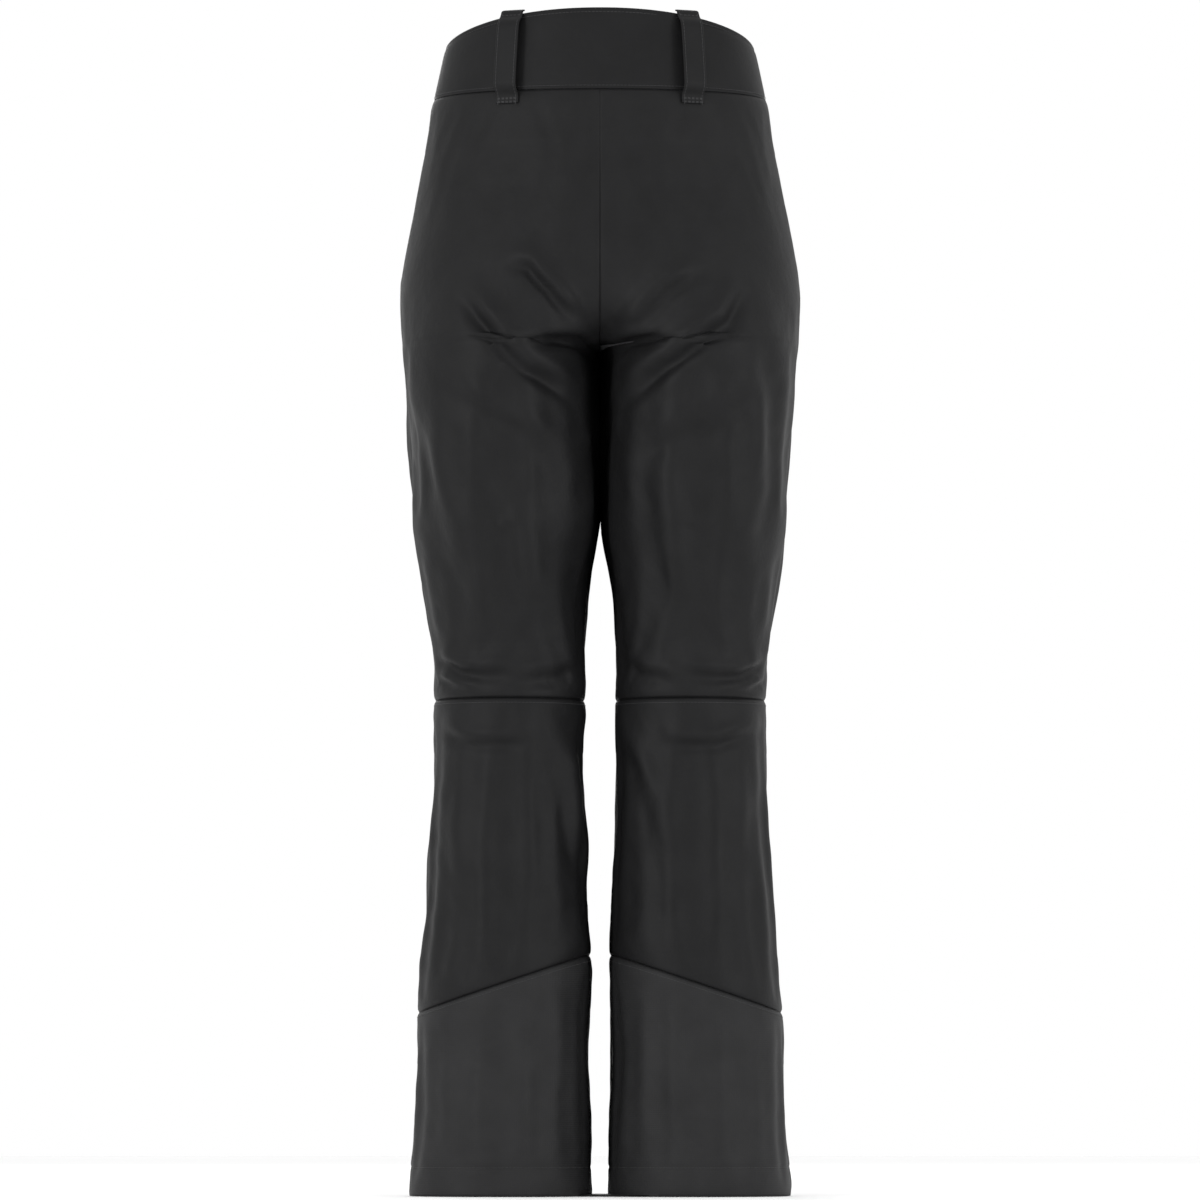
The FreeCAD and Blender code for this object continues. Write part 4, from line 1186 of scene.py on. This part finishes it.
# ---------------------------------------------------------------- gaiters inside the hems
def leg_ring(z, depth, side, count=120, wave=0.0, waves=27):
    turn = np.linspace(0, 2 * math.pi, count, endpoint=False)
    mid, outer, inner, front, back = (float(v) for v in half_section(np.array(z)))
    depth = depth + wave * np.sin(turn * waves)
    c, s = np.cos(turn), np.sin(turn)
    x = mid + power(c, 2 / ROUNDNESS) * (np.where(c > 0, outer, inner) - depth)
    y = power(s, 2 / ROUNDNESS) * (np.where(s > 0, back, front) - depth)
    return np.stack([x * side, y, np.full(count, z)], axis=-1)


GAITER_TOP, GAITER_BOTTOM = 0.185, 0.024  # above the hem
GAITER_WIDE, GAITER_NARROW = 0.0122, 0.021  # depth inside the skin, top and bottom
GAITER_WALL, ELASTIC_HEIGHT = 0.0009, 0.028
for name, side in SIDES:
    outer, inner, band_out, band_in = [], [], [], []
    for t in np.linspace(0.0, 1.0, 34):
        z = HEM_Z + GAITER_TOP + (GAITER_BOTTOM - GAITER_TOP) * t
        depth = GAITER_WIDE + (GAITER_NARROW - GAITER_WIDE) * t
        depth += 0.0028 * math.sin(math.pi * t) ** 0.5
        gather = 0.0009 * ease(np.array((t - 0.35) / 0.4)) * (1 - 0.75 * ease(
            np.array((t - 0.80) / 0.08)))
        outer.append(leg_ring(z, depth, side, 216, float(gather)))
        inner.append(leg_ring(z, depth + GAITER_WALL, side, 216, float(gather)))
        if z < HEM_Z + GAITER_BOTTOM + ELASTIC_HEIGHT:
            rib = 0.0002 * math.sin(z * 2 * math.pi / 0.0028)
            band_out.append(leg_ring(z, depth + 0.00115, side, 216, float(gather)))
            band_in.append(leg_ring(z, depth + 0.0024 + rib, side, 216, float(gather)))
    gaiter = slab(f"gaiter_cloth_{name}", np.array(outer), np.array(inner), 0.0002, wrap=True)
    finish_piece(gaiter, GAITER, body=f"shin_{name}",
                 replaces=[f"gaiter_{name}"])
    elastic = slab(f"elastic_band_{name}", np.array(band_out), np.array(band_in), 0.0002,
                   wrap=True)
    finish_piece(elastic, ELASTIC, body=f"shin_{name}",
                 replaces=[f"gaiter_elastic_{name}"])

# ---------------------------------------------------------------- zips
TEETH_INNER, TEETH_OUTER, TAPE_HALF = 0.0009, 0.0031, 0.013
for zip_name, place, length, names in ZIPS:
    tapes = []
    for way in (1, -1):
        middle = way * (TEETH_OUTER + TAPE_HALF) / 2
        line = even(np.array([place.at(middle, 0, -length - 0.004), place.at(middle, 0, 0.003)]),
                    0.004)
        tapes.append(strap("tape", line, place.out, TAPE_HALF - TEETH_OUTER, 0.0008, square=0.2))
    tape = join(f"{zip_name}_woven_tapes", tapes)
    finish_piece(tape, WEBBING, body="pelvis", replaces=[names[0]])
    rows = []
    for way, shift in ((1, 0.0), (-1, 0.0009)):
        middle = way * (TEETH_INNER + TEETH_OUTER) / 2
        rows.append([place.at(middle, 0, -length + shift), place.at(middle, 0, -0.001 + shift)])
    teeth = row_of("teeth", rows, 0.0018, (0.0031, 0.0031, 0.0012), TEETH, place.out, sides=4)
    base = []
    for way in (1, -1):
        middle = way * 0.0026
        line = np.array([place.at(middle, 0, -length), place.at(middle, 0, -0.001)])
        base.append(strap("coil_edge", even(line, 0.006), place.out, 0.0012, 0.0018, square=0.5))
    stop = np.array([place.at(0, 0, -length - 0.0025), place.at(0, 0, -length)])
    base.append(strap("stop", even(stop, 0.001), place.out, 0.0062, 0.0022, square=0.3))
    teeth = join(f"{zip_name}_teeth_rows", [teeth, *base])
    finish_piece(teeth, TEETH, body="pelvis", replaces=[names[1]])

for name, side in SIDES:
    place = POCKET[name]
    ring = []
    half, end = 0.0085, 0.0045
    for turn in np.linspace(0, 2 * math.pi, 29)[:-1]:
        c, s = math.cos(turn), math.sin(turn)
        b = end if s > 0 else -POCKET_LENGTH - end
        ring.append(place.at(half * c, 0, b + half * 0.8 * s))
    ring = np.array(ring + ring[:1])
    ring = even(ring, 0.0022)[:-1]
    ring = settle(ring, 0.0003, 6)
    out = unit(skin_slope(ring))
    welt = strap(f"welt_cloth_{name}", ring, out, 0.0066, 0.0021, ring=True, square=0.45)
    finish_piece(welt, BAND, body="pelvis",
                 replaces=[f"pocket_welt_{name}"])
    bag_rows = []
    for b in np.linspace(0.005, -POCKET_LENGTH - 0.038, 30):
        bag_rows.append([place.at(a * side, 0, b) for a in np.linspace(-0.024, 0.086, 24)])
    bag_rows = np.array(bag_rows)
    flat = bag_rows.reshape(-1, 3)
    flat = settle(flat, -0.0076, 8)
    under = settle(flat, -0.0086, 6)
    bag = slab(f"bag_cloth_{name}", flat.reshape(bag_rows.shape), under.reshape(bag_rows.shape),
               0.0002)
    finish_piece(bag, FACING, body="pelvis",
                 replaces=[f"pocket_bag_{name}"])

side_x, turn_low = 0.0083, -0.1635
line = [(side_x, 0, -0.0012), (side_x, 0, turn_low + 0.004), (side_x * 0.8, 0, turn_low - 0.004),
        (0, 0, turn_low - 0.0075), (-side_x * 0.8, 0, turn_low - 0.004),
        (-side_x, 0, turn_low + 0.004), (-side_x, 0, -0.0012)]
line = even(rounded(line, 3), 0.0022)
line[:, 1] = front_y(np.abs(line[:, 0]), line[:, 2])
line = settle(line, 0.0003, 5)
edging = strap("fly_edging", line, unit(skin_slope(line)), 0.0062, 0.0021, square=0.45)
finish_piece(edging, BAND, body="pelvis")
shield_rows = np.array([[(x, float(front_y(abs(x), z)), z) for x in np.linspace(-0.026, 0.026, 18)]
                        for z in np.linspace(-0.010, FLY_TOP - FLY_LENGTH - 0.009, 30)])
flat = shield_rows.reshape(-1, 3)
face, back = settle(flat, -0.0072, 6), settle(flat, -0.0084, 6)
shield = slab("shield_cloth", face.reshape(shield_rows.shape), back.reshape(shield_rows.shape),
              0.0002)
finish_piece(shield, FACING, body="pelvis", replaces=["fly_shield"])


# ---------------------------------------------------------------- stitching
def line_on(grid, heights, lift=0.0002):
    """Points on a side's finished cloth at a height given for each column."""
    points = []
    for c in range(grid.shape[1]):
        z = grid[::-1, c, 2]
        h = heights[c]
        points.append([np.interp(h, z, grid[::-1, c, k]) for k in range(2)] + [h])
    points = np.array(points)
    out = unit(skin_slope(points) * [1, 1, 0])
    return even(points + out * lift, 0.0012)


for name, side in SIDES:
    fine = cloth[name]
    x = fine[CUFF_ROW, :, 0]
    seam = cuff_height(x)
    stitch(f"shin_{name}", line_on(fine[CUFF_ROW - 12:], seam - STITCH_INSET))
    stitch(f"shin_{name}", line_on(fine[CUFF_ROW - 12:], np.full(len(x), HEM_Z + HEM_TURN_UP)))
    stitch(f"thigh_{name}", line_on(fine[KNEE_ROW - 12:],
                                    np.full(len(x), KNEE_Z - STITCH_INSET)))

for off in (0.0030, None):
    turn = np.linspace(front_angle(TAB_HINGE_X + 0.001, 0.04), 2 * math.pi
                       + front_angle(TAB_END_X - 0.001, 0.04), 700)
    z = np.full(700, 0.0035)
    if off is None:
        for _ in range(4):
            z = band_top(band_ring(z, turn, 0.0)[:, 1]) - STITCH_INSET
    line = band_ring(z, turn, -0.0004)
    stitch("pelvis", line)


def on_tab(x, z):
    """A point just off the outer face of the tab."""
    return band_ring(np.array([z]), front_angle(np.array([x]), z), -0.0003)[0]


near_x, far_x = TAB_HINGE_X - 0.002, TAB_END_X + 0.004
low_z, high_z = 0.0035, BAND_TOP_FRONT - 0.0075
tab_line = [on_tab(near_x + (far_x - near_x) * t, low_z) for t in np.linspace(0, 1, 40)]
tab_line += [on_tab(far_x, low_z + (high_z - low_z) * t) for t in np.linspace(0, 1, 24)[1:]]
tab_line += [on_tab(far_x + (near_x - far_x) * t, BAND_TOP_FRONT - STITCH_INSET)
             for t in np.linspace(0, 1, 40)[1:]]
stitch("waist_tab", even(np.array(tab_line), 0.0012))
for body, paths in stitch_paths.items():
    sewn = row_of(f"stitches_{body}", paths, STITCH_PITCH, STITCH_SIZE, THREAD)
    finish_piece(sewn, THREAD, body=body)

# ---------------------------------------------------------------- fixed frame's finishes
NODE_FINISH = {"fly_slider": SLIDER, "fly_pull": PULL, "snap_caps": SNAP, "snap_sockets": SNAP,
               "snap_studs": SNAP, "snap_posts": SNAP}
for name, _ in SIDES:
    NODE_FINISH.update({f"pocket_slider_{name}": SLIDER, f"pocket_pull_{name}": PULL,
                        f"boot_hook_{name}": STEEL})
for name, material in NODE_FINISH.items():
    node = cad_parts[name]
    node.data.materials.clear()
    node.data.materials.append(material)

# ---------------------------------------------------------------- camera, floor and light
def aim(item, place, target):
    item.location = place
    way = Vector(target) - Vector(place)
    item.rotation_euler = way.to_track_quat("-Z", "Y").to_euler()


def soft_light(name, place, target, size, watts, colour=(1, 1, 1)):
    lamp = bpy.data.lights.new(name, "AREA")
    lamp.shape = "RECTANGLE"
    lamp.size, lamp.size_y = size
    lamp.energy = watts
    lamp.color = colour
    item = bpy.data.objects.new(name, lamp)
    bpy.context.scene.collection.objects.link(item)
    aim(item, place, target)


camera = bpy.data.cameras.new("camera")
camera.lens, camera.sensor_width = 259.2, 36.0
camera_item = bpy.data.objects.new("camera", camera)
bpy.context.scene.collection.objects.link(camera_item)
aim(camera_item, (0.0, 8.0, -0.930), (0.0, 0.0, -0.464))
bpy.context.scene.camera = camera_item

floor_z = cad_low[2] - 0.0005
floor = mesh_piece("floor", [(x, y, floor_z) for x, y in ((-6, -6), (6, -6), (6, 6), (-6, 6))],
                   [(0, 1, 2, 3)], smooth=False)
pale, _, _, pale_shader = new_material("pale_floor")
pale_shader.inputs["Base Color"].default_value = (0.96, 0.96, 0.96, 1)
pale_shader.inputs["Roughness"].default_value = 0.8
floor.data.materials.append(pale)

world = bpy.data.worlds.new("studio")
bpy.context.scene.world = world
world.use_nodes = True
world.node_tree.nodes["Background"].inputs["Color"].default_value = (1.0, 1.0, 1.0, 1)
world.node_tree.nodes["Background"].inputs["Strength"].default_value = 1.0
soft_light("key", (2.4, 2.8, 0.3), (0, 0, -0.55), (0.9, 2.0), 42)
soft_light("side", (-2.8, 2.2, -0.1), (0, 0, -0.65), (0.9, 2.0), 30)
soft_light("front_fill", (0.4, -3.2, 1.2), (0, 0, -0.4), (2.0, 2.0), 25)
bpy.context.scene.view_settings.view_transform = "Standard"
